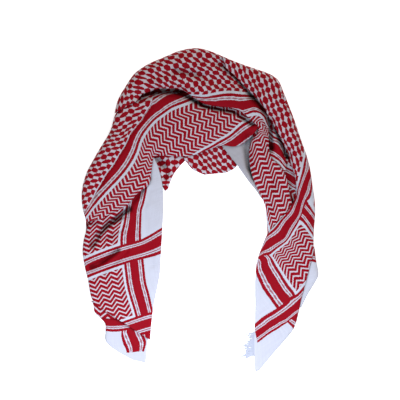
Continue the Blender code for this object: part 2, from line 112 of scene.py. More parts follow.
def smooth_rows(table, step):
    """The table's rows, with rows between them on a Catmull-Rom curve about a step apart."""
    rows = np.array(table, dtype=float)
    ends = np.vstack([2 * rows[0] - rows[1], rows, 2 * rows[-1] - rows[-2]])
    smoothed = []
    for before, start, end, after in zip(ends, ends[1:], ends[2:], ends[3:]):
        longest = max(math.dist(start[:2], end[:2]), math.dist(start[2:4], end[2:4]))
        count = max(1, round(longest / step))
        for w in np.arange(count) / count:
            smoothed.append(start + 0.5 * w * (end - before + w * (
                2 * before - 5 * start + 4 * end - after
                + w * (3 * (start - end) + after - before))))
    smoothed.append(rows[-1])
    return np.array(smoothed)


def linear(hex_colour):
    """An sRGB hex colour as linear red, green, blue and alpha."""
    parts = [int(hex_colour[k:k + 2], 16) / 255 for k in (1, 3, 5)]
    return tuple(c / 12.92 if c <= 0.04045 else ((c + 0.055) / 1.055) ** 2.4
                 for c in parts) + (1.0,)


def node(tree, kind, *feeds, out=0, **settings):
    """Add a node, named by its kind and operation, and give one of its outputs.
    Sockets and values feed its inputs in turn, and those in a dict feed them by name."""
    kind, _, operation = kind.partition(" ")
    made = tree.nodes.new("ShaderNode" + kind)
    if operation:
        made.operation = operation
    for name, value in settings.items():
        setattr(made, name, value)
    for turn, feed in enumerate(feeds):
        for place, source in feed.items() if isinstance(feed, dict) else ((turn, feed),):
            if isinstance(source, bpy.types.NodeSocket):
                tree.links.new(source, made.inputs[place])
            elif source is not None:
                made.inputs[place].default_value = source
    return made.outputs[out] if made.outputs else None


# Keffiyeh cotton: a matt white ground of thin plain-woven yarn with red yarn floated over it. It
# reads the cloth's own threads from the UV map: u is the distance along the striped edge and v the
# distance in from it, both in metres. The bands, in from each edge, are a plain margin to 58 mm, a
# triple stripe to 96, a herringbone from 101 to 199, a triple stripe to 243 and the checked field.
STRIPE_MIDDLES = (77.25, 223.5)     # of the two triple stripes along an edge
THICK_EDGE = 8.3        # out from a triple stripe's middle: the edge of the thick stripe,
THIN_EDGES = (14.2, 19.4)   # and the two edges of the thin one beyond the gap
FLOAT_SLANT = 1.9       # the floats in an end stripe's gaps: how steeply they slant,
FLOAT_PITCH = 6.6       # how far apart they lie,
FLOAT_SHARE = 0.42      # and how much of that is red
FLOAT_TONE = 0.35       # how strongly they show
MIDDLE_HALF = 0.8       # half the width of the line along the middle of such a gap
LINK = 13.0             # length of a link of the chain in an edge stripe's gaps
LINK_NECK = 0.5         # half its width where two links meet,
LINK_SWELL = 1.0        # and how much more that is in its middle
CHAIN_TONE = 0.75       # how strongly a gap's chain or middle line shows
BAND = (101.0, 199.0)   # the herringbone
LIMB = (BAND[1] - BAND[0]) / 8      # one limb of it, across the band
ROW = 9.3               # one row of it, along the band: each limb climbs one
ROW_RED = 0.67          # how much of a row is red
FIELD = 248.0           # where the checked field starts
CHECK = (16.0, 20.0)    # repeat of the ovals, along and in from the edge
OVALS = ((7.6, 4.2), (6.4, 5.1))    # half length and half width of the two that take turns
JOIN_HALF = 1.15        # half the width of the threads that join them,
JOIN_TONE = 0.8         # and how strongly these show
HEM = 1.0               # the end stripes stop this far from the cloth's edge,
FRINGE_ROOT = 12.0      # and the edge stripes this far from its ends
STRAY = 1.7             # how far a yarn strays from its line
WEAVE_SCALE = 0.2       # waves of 20 x 0.2 radians a mm, so they lie 1.6 mm apart
RED_YARN = "#960919"
BLEACHED_YARN = "#CECED3"
CHECK_GROUND = "#CDC3C6"

keffiyeh_cotton = bpy.data.materials.new("keffiyeh_cotton")
keffiyeh_cotton.use_nodes = True
weave = keffiyeh_cotton.node_tree
weave.nodes.clear()
mapped = node(weave, "VectorMath SCALE", node(weave, "UVMap", uv_map="threads"), None, None, 1 / MM)
# No yarn runs quite straight, so the edges of the floats are a little ragged, every 2 mm or so.
stray = node(weave, "TexNoise", {"Vector": mapped, "Scale": 0.45, "Detail": 1.0}, out="Color")
stray = node(weave, "VectorMath SUBTRACT", stray, (0.5, 0.5, 0.5))
threads = node(weave, "VectorMath MULTIPLY_ADD", stray, (STRAY, STRAY, 0.0), mapped)
along = node(weave, "SeparateXYZ", threads, out="X")
inward = node(weave, "SeparateXYZ", threads, out="Y")
# Distance from the nearer end of the band, so both ends cross a stripe.
far_end = node(weave, "Math SUBTRACT", SIDE, along)
from_end = node(weave, "Math MINIMUM", along, far_end)
# The triple stripe along each edge and across each end: thick, hatched and thin on both sides.
gap_middle = (THICK_EDGE + THIN_EDGES[0]) / 2
gap_half = (THIN_EDGES[0] - THICK_EDGE) / 2
thin_middle = (THIN_EDGES[0] + THIN_EDGES[1]) / 2
thin_half = (THIN_EDGES[1] - THIN_EDGES[0]) / 2
stripe_red = []
stripe_zone = []
for across, run in ((from_end, inward), (inward, along)):
    offs = [node(weave, "Math ABSOLUTE", node(weave, "Math SUBTRACT", across, middle))
            for middle in STRIPE_MIDDLES]
    off = node(weave, "Math MINIMUM", *offs)
    thick = node(weave, "Math COMPARE", off, 0.0, THICK_EDGE)
    thin = node(weave, "Math COMPARE", off, thin_middle, thin_half)
    gap = node(weave, "Math COMPARE", off, gap_middle, gap_half)
    side = node(weave, "Math ABSOLUTE", node(weave, "Math SUBTRACT", off, gap_middle))
    if run == inward:   # the end stripes' gaps hold long slanting floats
        slant = node(weave, "Math MULTIPLY_ADD", across, -FLOAT_SLANT, run)
        turn = node(weave, "Math DIVIDE", slant, FLOAT_PITCH)
        float_red = node(weave, "Math LESS_THAN", node(weave, "Math FRACT", turn), FLOAT_SHARE)
        float_red = node(weave, "Math MULTIPLY", float_red, FLOAT_TONE)
        middle_red = node(weave, "Math LESS_THAN", side, MIDDLE_HALF)
    else:               # the edge stripes' gaps hold a chain of long links
        swing = node(weave, "Math SINE", node(weave, "Math MULTIPLY", run, math.pi / LINK))
        swing = node(weave, "Math MULTIPLY_ADD", node(weave, "Math ABSOLUTE", swing), LINK_SWELL,
                     LINK_NECK)
        float_red = 0.0
        middle_red = node(weave, "Math LESS_THAN", side, swing)
    float_red = node(weave, "Math MULTIPLY_ADD", middle_red, CHAIN_TONE, float_red)
    float_red = node(weave, "Math MULTIPLY", float_red, gap)
    solid_red = node(weave, "Math ADD", thick, thin)
    stripe_red.append(node(weave, "Math ADD", solid_red, float_red))
    stripe_zone.append(node(weave, "Math COMPARE", off, 0.0, THIN_EDGES[1]))
# Stripes stop short of the cloth's edge, and the end stripes lie over the edge stripes.
on_cloth = node(weave, "Math GREATER_THAN", inward, HEM)
end_zone = node(weave, "Math MULTIPLY", stripe_zone[0], on_cloth)
past_fringe = node(weave, "Math GREATER_THAN", from_end, FRINGE_ROOT)
edge_zone = node(weave, "Math MULTIPLY", stripe_zone[1], past_fringe)
edge_zone = node(weave, "Math MULTIPLY", edge_zone,
                 node(weave, "Math SUBTRACT", 1.0, stripe_zone[0]))
end_red = node(weave, "Math MULTIPLY", end_zone, stripe_red[0])
edge_red = node(weave, "Math MULTIPLY", edge_zone, stripe_red[1])
# The herringbone lies where at least one of the two distances is in its band.
in_band = [node(weave, "Math COMPARE", distance, sum(BAND) / 2, (BAND[1] - BAND[0]) / 2)
           for distance in (from_end, inward)]
in_field = [node(weave, "Math GREATER_THAN", distance, FIELD) for distance in (from_end, inward)]
either = [node(weave, "Math ADD", *pair) for pair in zip(in_band, in_field)]
field_zone = node(weave, "Math MULTIPLY", *in_field)
band_zone = node(weave, "Math SUBTRACT", node(weave, "Math MULTIPLY", *either), field_zone)
limb = node(weave, "Math PINGPONG", node(weave, "Math SUBTRACT", inward, BAND[0]), LIMB)
limb = node(weave, "Math MULTIPLY", limb, ROW / LIMB)
rows = node(weave, "Math DIVIDE", node(weave, "Math ADD", along, limb), ROW)
zigzag = node(weave, "Math LESS_THAN", node(weave, "Math FRACT", rows), ROW_RED)
band_red = node(weave, "Math MULTIPLY", band_zone, zigzag)
# The field: ovals leaning one way and the other by turns, joined by single threads.
reds = []
lean = math.atan2(CHECK[1], CHECK[0])
spacing = CHECK[0] * CHECK[1] / math.hypot(*CHECK)
for shift, angle, half_sizes in ((0.0, -lean, OVALS[0]), (0.5, lean, OVALS[1])):
    moved = node(weave, "VectorMath ADD", threads, (CHECK[0] * shift, CHECK[1] * shift, 0.0))
    cell = node(weave, "VectorMath WRAP", moved, (CHECK[0] / 2, CHECK[1] / 2, 1.0),
                (-CHECK[0] / 2, -CHECK[1] / 2, -1.0))
    turned = node(weave, "Mapping", {"Vector": cell, "Rotation": (0.0, 0.0, angle),
                                     "Scale": (*half_sizes, 1.0)}, vector_type="TEXTURE")
    reach = node(weave, "VectorMath LENGTH", turned, out="Value")
    oval = node(weave, "Math LESS_THAN", reach, 1.0)
    slope = (math.sin(lean), math.cos(lean) if shift else -math.cos(lean), 0.0)
    line = node(weave, "VectorMath DOT_PRODUCT", threads, slope, out="Value")
    line = node(weave, "Math WRAP", line, spacing / 2, -spacing / 2)
    line = node(weave, "Math COMPARE", line, 0.0, JOIN_HALF)
    line = node(weave, "Math MULTIPLY", line, JOIN_TONE)
    reds.append(node(weave, "Math MAXIMUM", oval, line))
check_red = node(weave, "Math MULTIPLY", node(weave, "Math MAXIMUM", *reds), field_zone)
red_share = end_red
for part in (edge_red, band_red, check_red):
    red_share = node(weave, "Math ADD", red_share, part)
# Thick and thin places in the yarn, 50 mm long and a yarn wide, run along both thread directions.
slubs = [node(weave, "TexNoise", {
    "Vector": node(weave, "Mapping", {"Vector": threads, "Scale": stretch}),
    "Scale": 1.0, "Detail": 2.0}) for stretch in ((0.02, 0.9, 1.0), (0.9, 0.02, 1.0))]
slub = node(weave, "Math ADD", *slubs)
tone = node(weave, "MapRange", {"Value": slub, "From Min": 0.7, "From Max": 1.3,
                                "To Min": 0.93, "To Max": 1.04})
patterned = node(weave, "Math ADD", field_zone, band_zone)
ground = node(weave, "Mix", {"Factor": patterned, "A": linear(BLEACHED_YARN),
                             "B": linear(CHECK_GROUND)}, out=2, data_type="RGBA")
colour = node(weave, "Mix", {"Factor": red_share, "A": ground, "B": linear(RED_YARN)}, out=2,
              data_type="RGBA")
colour = node(weave, "Mix", {"Factor": 1.0, "A": colour, "B": tone}, out=2, data_type="RGBA",
              blend_type="MULTIPLY")
# Painted shade: close to another layer the colour is darkened by ambient occlusion, standing in for
# the shade in folds and gaps.
painted_fold_shade = node(weave, "AmbientOcclusion", {"Distance": 0.018}, out="AO", samples=12)
painted_fold_shade = node(weave, "MapRange", {"Value": painted_fold_shade, "From Min": 0.3, "From Max": 0.88,
                                  "To Min": 0.08, "To Max": 1.0})
colour = node(weave, "Mix", {"Factor": 1.0, "A": colour, "B": painted_fold_shade}, out=2, data_type="RGBA",
              blend_type="MULTIPLY")
# Plain weave, drawn at 1.6 mm because single threads are too fine to show.
picks, ends = [node(weave, "TexWave", {"Vector": threads, "Scale": WEAVE_SCALE}, out="Fac",
                    bands_direction=way) for way in "XY"]
relief = node(weave, "Math MULTIPLY", picks, ends)
relief = node(weave, "Math ADD", relief, slub)
relief = node(weave, "Math ADD", relief, node(weave, "Math MULTIPLY", red_share, 0.8))
weave_bump = node(weave, "Bump", {"Strength": 0.35, "Distance": 0.0006, "Height": relief},
                  out="Normal")
node(weave, "OutputMaterial", node(weave, "BsdfPrincipled", {
    "Base Color": colour, "Roughness": 0.55, "Specular IOR Level": 0.045, "Sheen Weight": 0.01,
    "Sheen Roughness": 0.5, "Normal": weave_bump}))

# The highest thing laid so far, on a grid over the surface that the scarf lies on.
GRID = 1.5
GRID_X = np.arange(-264, 265, GRID)
GRID_Y = np.arange(-348, 349, GRID)
laid = np.zeros((len(GRID_Y), len(GRID_X)))


def lay_on_grid(plan_x, plan_y, top):
    """Raise the grid to a new layer, by points four times as close as its own."""
    sheets = [plan_x, plan_y, top]
    for axis in (0, 1):
        finer = []
        for values in sheets:
            values = np.moveaxis(values, axis, 0)
            parts = [values[:-1] * (1 - w) + values[1:] * w for w in (0.0, 0.25, 0.5, 0.75)]
            finer.append(np.moveaxis(np.stack(parts, 1).reshape(-1, values.shape[1]), 0, axis))
        sheets = finer
    column = np.clip(np.rint((sheets[0] - GRID_X[0]) / GRID), 0, len(GRID_X) - 1).astype(int)
    line = np.clip(np.rint((sheets[1] - GRID_Y[0]) / GRID), 0, len(GRID_Y) - 1).astype(int)
    np.maximum.at(laid, (line, column), sheets[2])


def sew_sheet(name, points, thread_marks):
    """A grid of points in mm as a sheet of cloth with its thread map, riding on the scarf."""
    row_count, column_count = points.shape[:2]
    shape = bmesh.new()
    bmesh.ops.create_grid(shape, x_segments=column_count - 1, y_segments=row_count - 1, size=1.0)
    uv = shape.loops.layers.uv.new("threads")
    places = {}
    for vert in shape.verts:
        places[vert] = (round((vert.co.y + 1) / 2 * (row_count - 1)),
                        round((vert.co.x + 1) / 2 * (column_count - 1)))
        vert.co = points[places[vert]] * MM
    for face in shape.faces:
        face.smooth = True
        for loop in face.loops:
            loop[uv].uv = thread_marks[places[loop.vert]] * MM
    shape.normal_update()
    # The middle third of the columns is clear of the turned edges, so its normals tell which way
    # the sheet faces.
    middle = [face for face in shape.faces if column_count // 3 < places[face.verts[0]][1]
              < 2 * column_count // 3]
    if sum(face.normal.z for face in middle) < 0:
        bmesh.ops.reverse_faces(shape, faces=shape.faces)
    mesh = bpy.data.meshes.new(name)
    shape.to_mesh(mesh)
    shape.free()
    mesh.materials.append(keffiyeh_cotton)
    piece = bpy.data.objects.new(name, mesh)
    bpy.context.scene.collection.objects.link(piece)
    wall = piece.modifiers.new("cloth", "SOLIDIFY")
    wall.thickness = CLOTH * MM
    wall.offset = -1.0
    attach(piece, "root")
    return piece


# Hidden layers, section by section round the arch from the left foot to the right tip.
# outer x, outer y, inner x, inner y
HIDDEN_LAYERS = (
    (-172, -262, -116, -270), (-184, -236, -108, -250), (-202, -200, -104, -214),
    (-214, -166, -95, -178), (-226, -120, -86, -130), (-231, -76, -82, -80),
    (-228, -36, -79, -30), (-230, 4, -79, 20), (-230, 40, -83, 60), (-220, 80, -92, 92),
    (-200, 118, -84, 112), (-178, 156, -70, 115), (-166, 196, -54, 115),
    (-150, 236, -38, 115), (-126, 268, -20, 116), (-92, 291, -2, 119), (-48, 311, 14, 125),
    (-6, 318, 32, 132), (34, 308, 50, 137), (78, 288, 70, 139), (124, 268, 88, 144),
    (152, 250, 104, 152), (168, 218, 112, 146), (183, 184, 112, 132), (196, 150, 108, 112),
    (207, 112, 107, 90), (216, 72, 112, 66), (222, 32, 123, 38), (225, -8, 135, 8),
    (223, -46, 137, -28), (220, -80, 130, -66), (212, -116, 118, -106), (202, -152, 115, -146),
    (193, -190, 115, -190), (184, -222, 115, -230), (160, -254, 115, -260),
    (134, -280, 116, -284),
)
# The side of the pile: how far in each lip's fold and tuck lie, and how high.
# in from the edge, share of the pile's height
LIPS = (
    (9, 0.02), (4, 0.015), (1, 0.03), (0, 0.08), (0.6, 0.13), (3, 0.165), (6.5, 0.185),
    (3.2, 0.21), (0.8, 0.25), (0.2, 0.31), (0.9, 0.37), (3.6, 0.41), (7.4, 0.43), (4.6, 0.46),
    (4, 0.52), (5.4, 0.60), (9, 0.70), (15, 0.82), (24, 0.93), (34, 1),
)
LIPS_NEED = 90.0        # where the pile is narrower than this, the lips lie less deep
CROWN_POINTS = 10       # points across the pile's top, between the lips of its two sides
CLEARANCE = 0.6         # how far the lips stay below the cloth draped over them,
CROWN_CLEARANCE = 7.0   # and how much farther the pile's top does
WANDER = 0.7            # how far a lip wanders up and down along its way
FIRST_THREADS = (300, 260)  # the threads at the left foot's outer edge: along and in from the edge
DRAWN_OUT = 0.6         # cloth to each mm of the pile's length, as its checks are drawn out there

side_up = np.array([share for _, share in LIPS])
share_up = np.concatenate([side_up, np.ones(CROWN_POINTS), side_up[::-1]])
hidden_points = []
for outer_x, outer_y, inner_x, inner_y in smooth_rows(HIDDEN_LAYERS, 5.0):
    outer_point, inner_point = np.array((outer_x, outer_y)), np.array((inner_x, inner_y))
    width = math.dist(outer_point, inner_point)
    side_in = np.array([depth for depth, _ in LIPS]) * min(1.0, width / LIPS_NEED)
    crown = np.linspace(side_in[-1], width - side_in[-1], CROWN_POINTS + 2)[1:-1]
    in_from_edge = np.concatenate([side_in, crown, (width - side_in)[::-1]])
    plan = outer_point + (in_from_edge / width)[:, None] * (inner_point - outer_point)
    wander = WANDER * np.sin(plan[:, 0] / 13 + share_up * 9) * np.sin(plan[:, 1] / 17
                                                                      + share_up * 5)
    below_cloth = CLEARANCE + CROWN_CLEARANCE * (share_up >= 1)
    rise = (pile_height(plan[:, 0], plan[:, 1]) - below_cloth) * share_up
    hidden_points.append(np.column_stack([plan, np.maximum(rise + wander * (share_up < 1), 0.2)]))
hidden_points = np.array(hidden_points)
# The cloth goes round each lip, so its threads are measured over the folds.
steps = np.linalg.norm(np.diff(hidden_points, axis=1), axis=2)
over_folds = np.concatenate([np.zeros((len(steps), 1)), np.cumsum(steps, axis=1)], axis=1)
middle_line = hidden_points[:, hidden_points.shape[1] // 2]
run = np.concatenate([[0.0], np.cumsum(np.linalg.norm(np.diff(middle_line, axis=0), axis=1))])
hidden_along = np.broadcast_to(FIRST_THREADS[0] + run[:, None] * DRAWN_OUT, over_folds.shape)
hidden_threads = np.stack([hidden_along, FIRST_THREADS[1] + over_folds], axis=2)
under_folds = sew_sheet("under_folds", hidden_points, hidden_threads)
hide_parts("hidden_folds")
lay_on_grid(hidden_points[:, :, 0], hidden_points[:, :, 1], hidden_points[:, :, 2])


# ---- The frayed corner ----
# A 9 mm strip of the scarf's selvedge lies under the right tip. Its weft ends are pulled out into
# loose twisted strands, which lie on the surface in seven bunches.
BUNCHES = (
    # start y, strands, length of the longest, how far the ends swing down
    (-244, 12, 21, 3), (-253, 12, 18, 2), (-261, 9, 20, 1), (-267, 9, 30, 2), (-273, 9, 26, 3),
    (-278, 10, 31, 6), (-283, 12, 33, 8),
)
SELVEDGE = (
    # outer x, outer y, inner x, inner y
    (118, -246, 109, -246), (118, -256, 109.6, -256), (118, -268, 108.8, -268),
    (118, -280, 109.5, -280), (117, -290, 109, -290),
)
STRAND_X = 112          # where the strands start, within the strip
STRAND_PITCH = 0.7      # from one strand to the next in a bunch
STRAND_ROOT, STRAND_TIP = 1.1, 0.6      # radii of a strand's ends
TWIST = 9.0             # radians that a strand is twisted from root to tip
CURL = 0.9              # how far its tip curls aside
STRIP_Z = 2.0           # height of the strip above the surface
STRIP_ALONG = 20.0      # its threads: how far along the scarf's edge,
STRIP_EDGE_Y = -290.0   # and where that edge is

# Bleached cotton yarn: as white as the margin, dull and a little fuzzy.
bleached_cotton = bpy.data.materials.new("bleached_cotton_yarn")
bleached_cotton.use_nodes = True
yarn = bleached_cotton.node_tree
yarn.nodes.clear()
spot = node(yarn, "TexCoord", out="Object")
fuzz = node(yarn, "TexNoise", {"Vector": spot, "Scale": 900.0, "Detail": 3.0})
shade = node(yarn, "MapRange", {"Value": fuzz, "From Min": 0.3, "From Max": 0.7,
                                "To Min": 0.9, "To Max": 1.0})
pale = node(yarn, "Mix", {"Factor": 1.0, "A": linear("#C6C9D2"), "B": shade}, out=2,
            data_type="RGBA", blend_type="MULTIPLY")
yarn_bump = node(yarn, "Bump", {"Strength": 0.4, "Distance": 0.0004, "Height": fuzz}, out="Normal")
node(yarn, "OutputMaterial", node(yarn, "BsdfPrincipled", {
    "Base Color": pale, "Roughness": 0.92, "Specular IOR Level": 0.2, "Sheen Weight": 0.15,
    "Normal": yarn_bump}))

# No two strands have the same length, swing and lift, so these wander from one to the next.
strand_shape = bmesh.new()
for bunch_y, strands, reach, fall in BUNCHES:
    for k in range(strands):
        strand_y = bunch_y - STRAND_PITCH * k
        length = reach * (0.8 + 0.2 * math.sin(2.3 * k + bunch_y))
        swing = fall + 2.2 * math.sin(1.7 * k + bunch_y)
        lift = 0.7 + 0.5 * math.sin(3.1 * k)
        made = bmesh.ops.create_cone(strand_shape, cap_ends=True, segments=7, depth=1.0,
                                     radius1=STRAND_ROOT * MM, radius2=STRAND_TIP * MM)["verts"]
        sides = [edge for edge in {edge for vert in made for edge in vert.link_edges}
                 if abs(edge.verts[0].co.z - edge.verts[1].co.z) > 0.5]
        bmesh.ops.subdivide_edges(strand_shape, cuts=7, edges=sides)
        for vert in strand_shape.verts:
            if vert.tag:    # a strand that is laid already
                continue
            vert.tag = True
            share = vert.co.z + 0.5
            twist = share * TWIST
            curl = CURL * math.sin(share * 7 + strand_y)
            aside = (vert.co.x * math.cos(twist) - vert.co.y * math.sin(twist)) / MM
            above = (vert.co.x * math.sin(twist) + vert.co.y * math.cos(twist)) / MM
            vert.co = ((STRAND_X - length * share) * MM,
                       (strand_y - swing * share ** 1.5 + curl * share + aside) * MM,
                       (1.0 + lift * math.sin(share * 2.6) + above) * MM)
bmesh.ops.recalc_face_normals(strand_shape, faces=strand_shape.faces)
strand_mesh = bpy.data.meshes.new("fringe_strands")
strand_shape.to_mesh(strand_mesh)
strand_shape.free()
for polygon in strand_mesh.polygons:
    polygon.use_smooth = True
strand_mesh.materials.append(bleached_cotton)
fringe_strands = bpy.data.objects.new("fringe_strands", strand_mesh)
bpy.context.scene.collection.objects.link(fringe_strands)
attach(fringe_strands, "root")
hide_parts("fringe")

strip_rows = smooth_rows(SELVEDGE, 2.0)
strip_points = np.array([[(*(row[0:2] + w * (row[2:4] - row[0:2])),
                           STRIP_Z + 0.2 * math.sin(row[1] / 4 + 3 * w))
                          for w in np.linspace(0, 1, 7)] for row in strip_rows])
strip_threads = np.stack([np.full(strip_points.shape[:2], STRIP_ALONG),
                          strip_points[:, :, 1] - STRIP_EDGE_Y], axis=2)
fringe_hem = sew_sheet("fringe_hem", strip_points, strip_threads)
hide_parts("fringe")
lay_on_grid(strip_points[:, :, 0], strip_points[:, :, 1], strip_points[:, :, 2])


# ---- The left corner's foot ----
# The bottom of the left corner of the cloth, the lowest part that shows: the plain margin and the
# triple stripe crossing it. It is a single layer, folded back under itself along the outside.
PITCH = 3.2             # rise from one layer to the next
BED = 2.4               # top of the lowest draped layer above the hidden ones
GAP = 0.5               # least space between two layers
TO_FLOOR = 99.0         # a drop that reaches the surface
EDGE_STEPS = 9          # points round a folded edge
LEAST_TURN = 20         # degrees that every edge turns down,
MORE_TURN = 125         # how many more an edge does that drops far enough,
TURN_DROP = 7.0         # and how far that is
ROLL_SHARE = 0.8        # how much of a narrow stretch its two rolled edges may take
FELT_REACH = 4.5        # how far cloth stands off from what is higher beside it
SOFTENINGS = 3          # rounds of smoothing of what it feels below
BLEND = 0.8             # square mm: how softly cloth passes from one support to another
FLAT_BELOW = 8.0        # where the pile is lower than this, cloth on it is less uneven
MAP_UNIT = 100.0        # the unit that the thread map is worked out in
SLACK = 0.004           # how freely the map may pass beside a mark
FIRST_CHECKS = 246.0    # where a tuck ends, in from the cloth's edge
DRAWN = 1.7             # how far gathering draws the checks out of line,
DRAWN_FROM = 250.0      # from where, in from the cloth's edge,
DRAWN_OVER = 20.0       # and over what distance it sets in


def wall_top(x, y, level):
    """Top of a layer that lies a number of layers up on the pile, in mm."""
    return pile_height(x, y) + BED + PITCH * level


def unevenness(x, y):
    """Slight waves of soft cloth, in mm."""
    return (0.5 * np.sin(x / 9.1 + y / 14.7 + 0.4) * np.sin(y / 11.3 - x / 23.0 + 1.9)
            + 0.35 * np.sin(x / 5.3 - y / 7.9 + 2.2) * np.sin(x / 17.0 + y / 6.1))


def read_grid(field, x, y):
    """A field's value at plan points, between the grid's points."""
    across = np.clip((x - GRID_X[0]) / GRID, 0, len(GRID_X) - 1.001)
    up = np.clip((y - GRID_Y[0]) / GRID, 0, len(GRID_Y) - 1.001)
    column, line = across.astype(int), up.astype(int)
    right, above = across - column, up - line
    return ((field[line, column] * (1 - right) + field[line, column + 1] * right) * (1 - above)
            + (field[line + 1, column] * (1 - right) + field[line + 1, column + 1] * right) * above)


def felt_below():
    """The laid heights as cloth on them feels: each place takes the highest near it, softened."""
    reach = int(FELT_REACH / GRID)
    felt = laid.copy()
    for down in range(-reach, reach + 1):
        for over in range(-reach, reach + 1):
            if down ** 2 + over ** 2 <= (FELT_REACH / GRID) ** 2:
                felt = np.maximum(felt, np.roll(laid, (down, over), (0, 1)))
    for _ in range(SOFTENINGS):
        for axis in (0, 1):
            felt = (np.roll(felt, 1, axis) + 2 * felt + np.roll(felt, -1, axis)) / 4
    return felt


def turned_edge(roll, drop):
    """Points round a folded edge, from its end up: how far in they are, and how far down."""
    full = np.radians(LEAST_TURN + MORE_TURN * np.minimum(1.0, drop / TURN_DROP))[:, None]
    turns = full * np.linspace(1.0, 0.0, EDGE_STEPS, endpoint=False)
    inward_by = roll[:, None] * (1 - np.sin(turns) / np.sin(np.minimum(full, math.pi / 2)))
    return inward_by, drop[:, None] * (1 - np.cos(turns)) / (1 - np.cos(full))


def thread_map(marks):
    """A smooth map from plan points to threads of the cloth, through the given marks.
    Each mark is x, y, distance along the striped edge, distance in from it."""
    marks = np.array(marks, dtype=float)
    spots = marks[:, :2] / MAP_UNIT

    def bend(a, b):
        square = ((a[:, None] - b[None]) ** 2).sum(2)
        return square * np.log(square + 1e-12)

    count = len(spots)
    flat_part = np.column_stack([np.ones(count), spots])
    system = np.zeros((count + 3, count + 3))
    system[:count, :count] = bend(spots, spots) + SLACK * np.eye(count)
    system[:count, count:] = flat_part
    system[count:, :count] = flat_part.T
    pull = np.linalg.solve(system, np.vstack([marks[:, 2:], np.zeros((3, 2))]))

    def threads_at(x, y):
        points = np.column_stack([np.ravel(x), np.ravel(y)]) / MAP_UNIT
        full = np.column_stack([bend(points, spots), np.ones(len(points)), points])
        return (full @ pull).reshape(*np.shape(x), 2)

    return threads_at


def lay_cloth(name, table, marks, creases=(), step=3.2, tuck=()):
    """A stretch of cloth through its sections, draped over everything laid before it, with a mesh
    about a step apart. A tuck, given as the line (distance along, distance in) that it starts
    from, hides the cloth from there up to the first checks."""
    rows = smooth_rows(table, step)
    outer, inner = rows[:, 0:2], rows[:, 2:4]
    outer_level, inner_level, outer_roll, outer_drop, inner_roll, inner_drop = rows[:, 4:].T
    width = np.linalg.norm(inner - outer, axis=1)
    squeeze = np.minimum(1.0, ROLL_SHARE * width / (outer_roll + inner_roll))
    outer_roll, inner_roll = outer_roll * squeeze, inner_roll * squeeze
    felt = felt_below()
    turned = []
    for end, level, roll, drop in ((outer, outer_level, outer_roll, outer_drop),
                                   (inner, inner_level, inner_roll, inner_drop)):
        room = (wall_top(end[:, 0], end[:, 1], level) - read_grid(felt, end[:, 0], end[:, 1])
                - GAP - CLOTH)
        turned.append(turned_edge(roll, np.clip(room, 0.0, np.maximum(drop, 0.0))))
    flat_share = np.linspace(0.0, 1.0, max(8, round(width.max() / step)))
    flat_in = outer_roll[:, None] + (width - inner_roll - outer_roll)[:, None] * flat_share
    across = np.concatenate([turned[0][0], flat_in, width[:, None] - turned[1][0][:, ::-1]], 1)
    sink = np.concatenate([turned[0][1], 0 * flat_in, turned[1][1][:, ::-1]], 1)
    share = across / width[:, None]
    plan = outer[:, None] + share[..., None] * (inner - outer)[:, None]
    x, y = plan[..., 0], plan[..., 1]
    level = outer_level[:, None] + share * (inner_level - outer_level)[:, None]
    top = (wall_top(x, y, level) - sink - pressed(x, y, creases)
           + unevenness(x, y) * np.minimum(1.0, pile_height(x, y) / FLAT_BELOW))
    below = read_grid(felt, x, y) + GAP + CLOTH
    z = (top + below + np.sqrt((top - below) ** 2 + BLEND)) / 2
    points = np.dstack([plan, z])
    # Round a folded edge the threads are measured along the cloth, not in plan.
    lengths = np.linalg.norm(np.diff(points, axis=1), axis=2)
    flat_from, flat_to = EDGE_STEPS, points.shape[1] - EDGE_STEPS - 1
    unrolled = across.copy()
    for column in range(flat_from - 1, -1, -1):
        unrolled[:, column] = unrolled[:, column + 1] - lengths[:, column]
    for column in range(flat_to + 1, points.shape[1]):
        unrolled[:, column] = unrolled[:, column - 1] + lengths[:, column - 1]
    spread = outer[:, None] + (unrolled / width[:, None])[..., None] * (inner - outer)[:, None]
    threads = thread_map(marks)(spread[..., 0], spread[..., 1])
    if tuck:
        edge = np.interp(threads[..., 0], *zip(*tuck))
        threads[..., 1] += np.where(threads[..., 1] > edge, FIRST_CHECKS - edge, 0)
    # Gathered cloth draws its checks a little out of line.
    drawn = DRAWN * np.clip((threads[..., 1] - DRAWN_FROM) / DRAWN_OVER, 0.0, 1.0)
    waves = np.dstack([np.sin(x / 13 + y / 21) + 0.5 * np.sin(x / 5.5 - y / 8),
                       np.sin(y / 12 - x / 25 + 2) + 0.5 * np.sin(x / 8 + y / 6 + 1)])
    piece = sew_sheet(name, points, threads + drawn[..., None] * waves)
    lay_on_grid(x, y, z)
    return piece


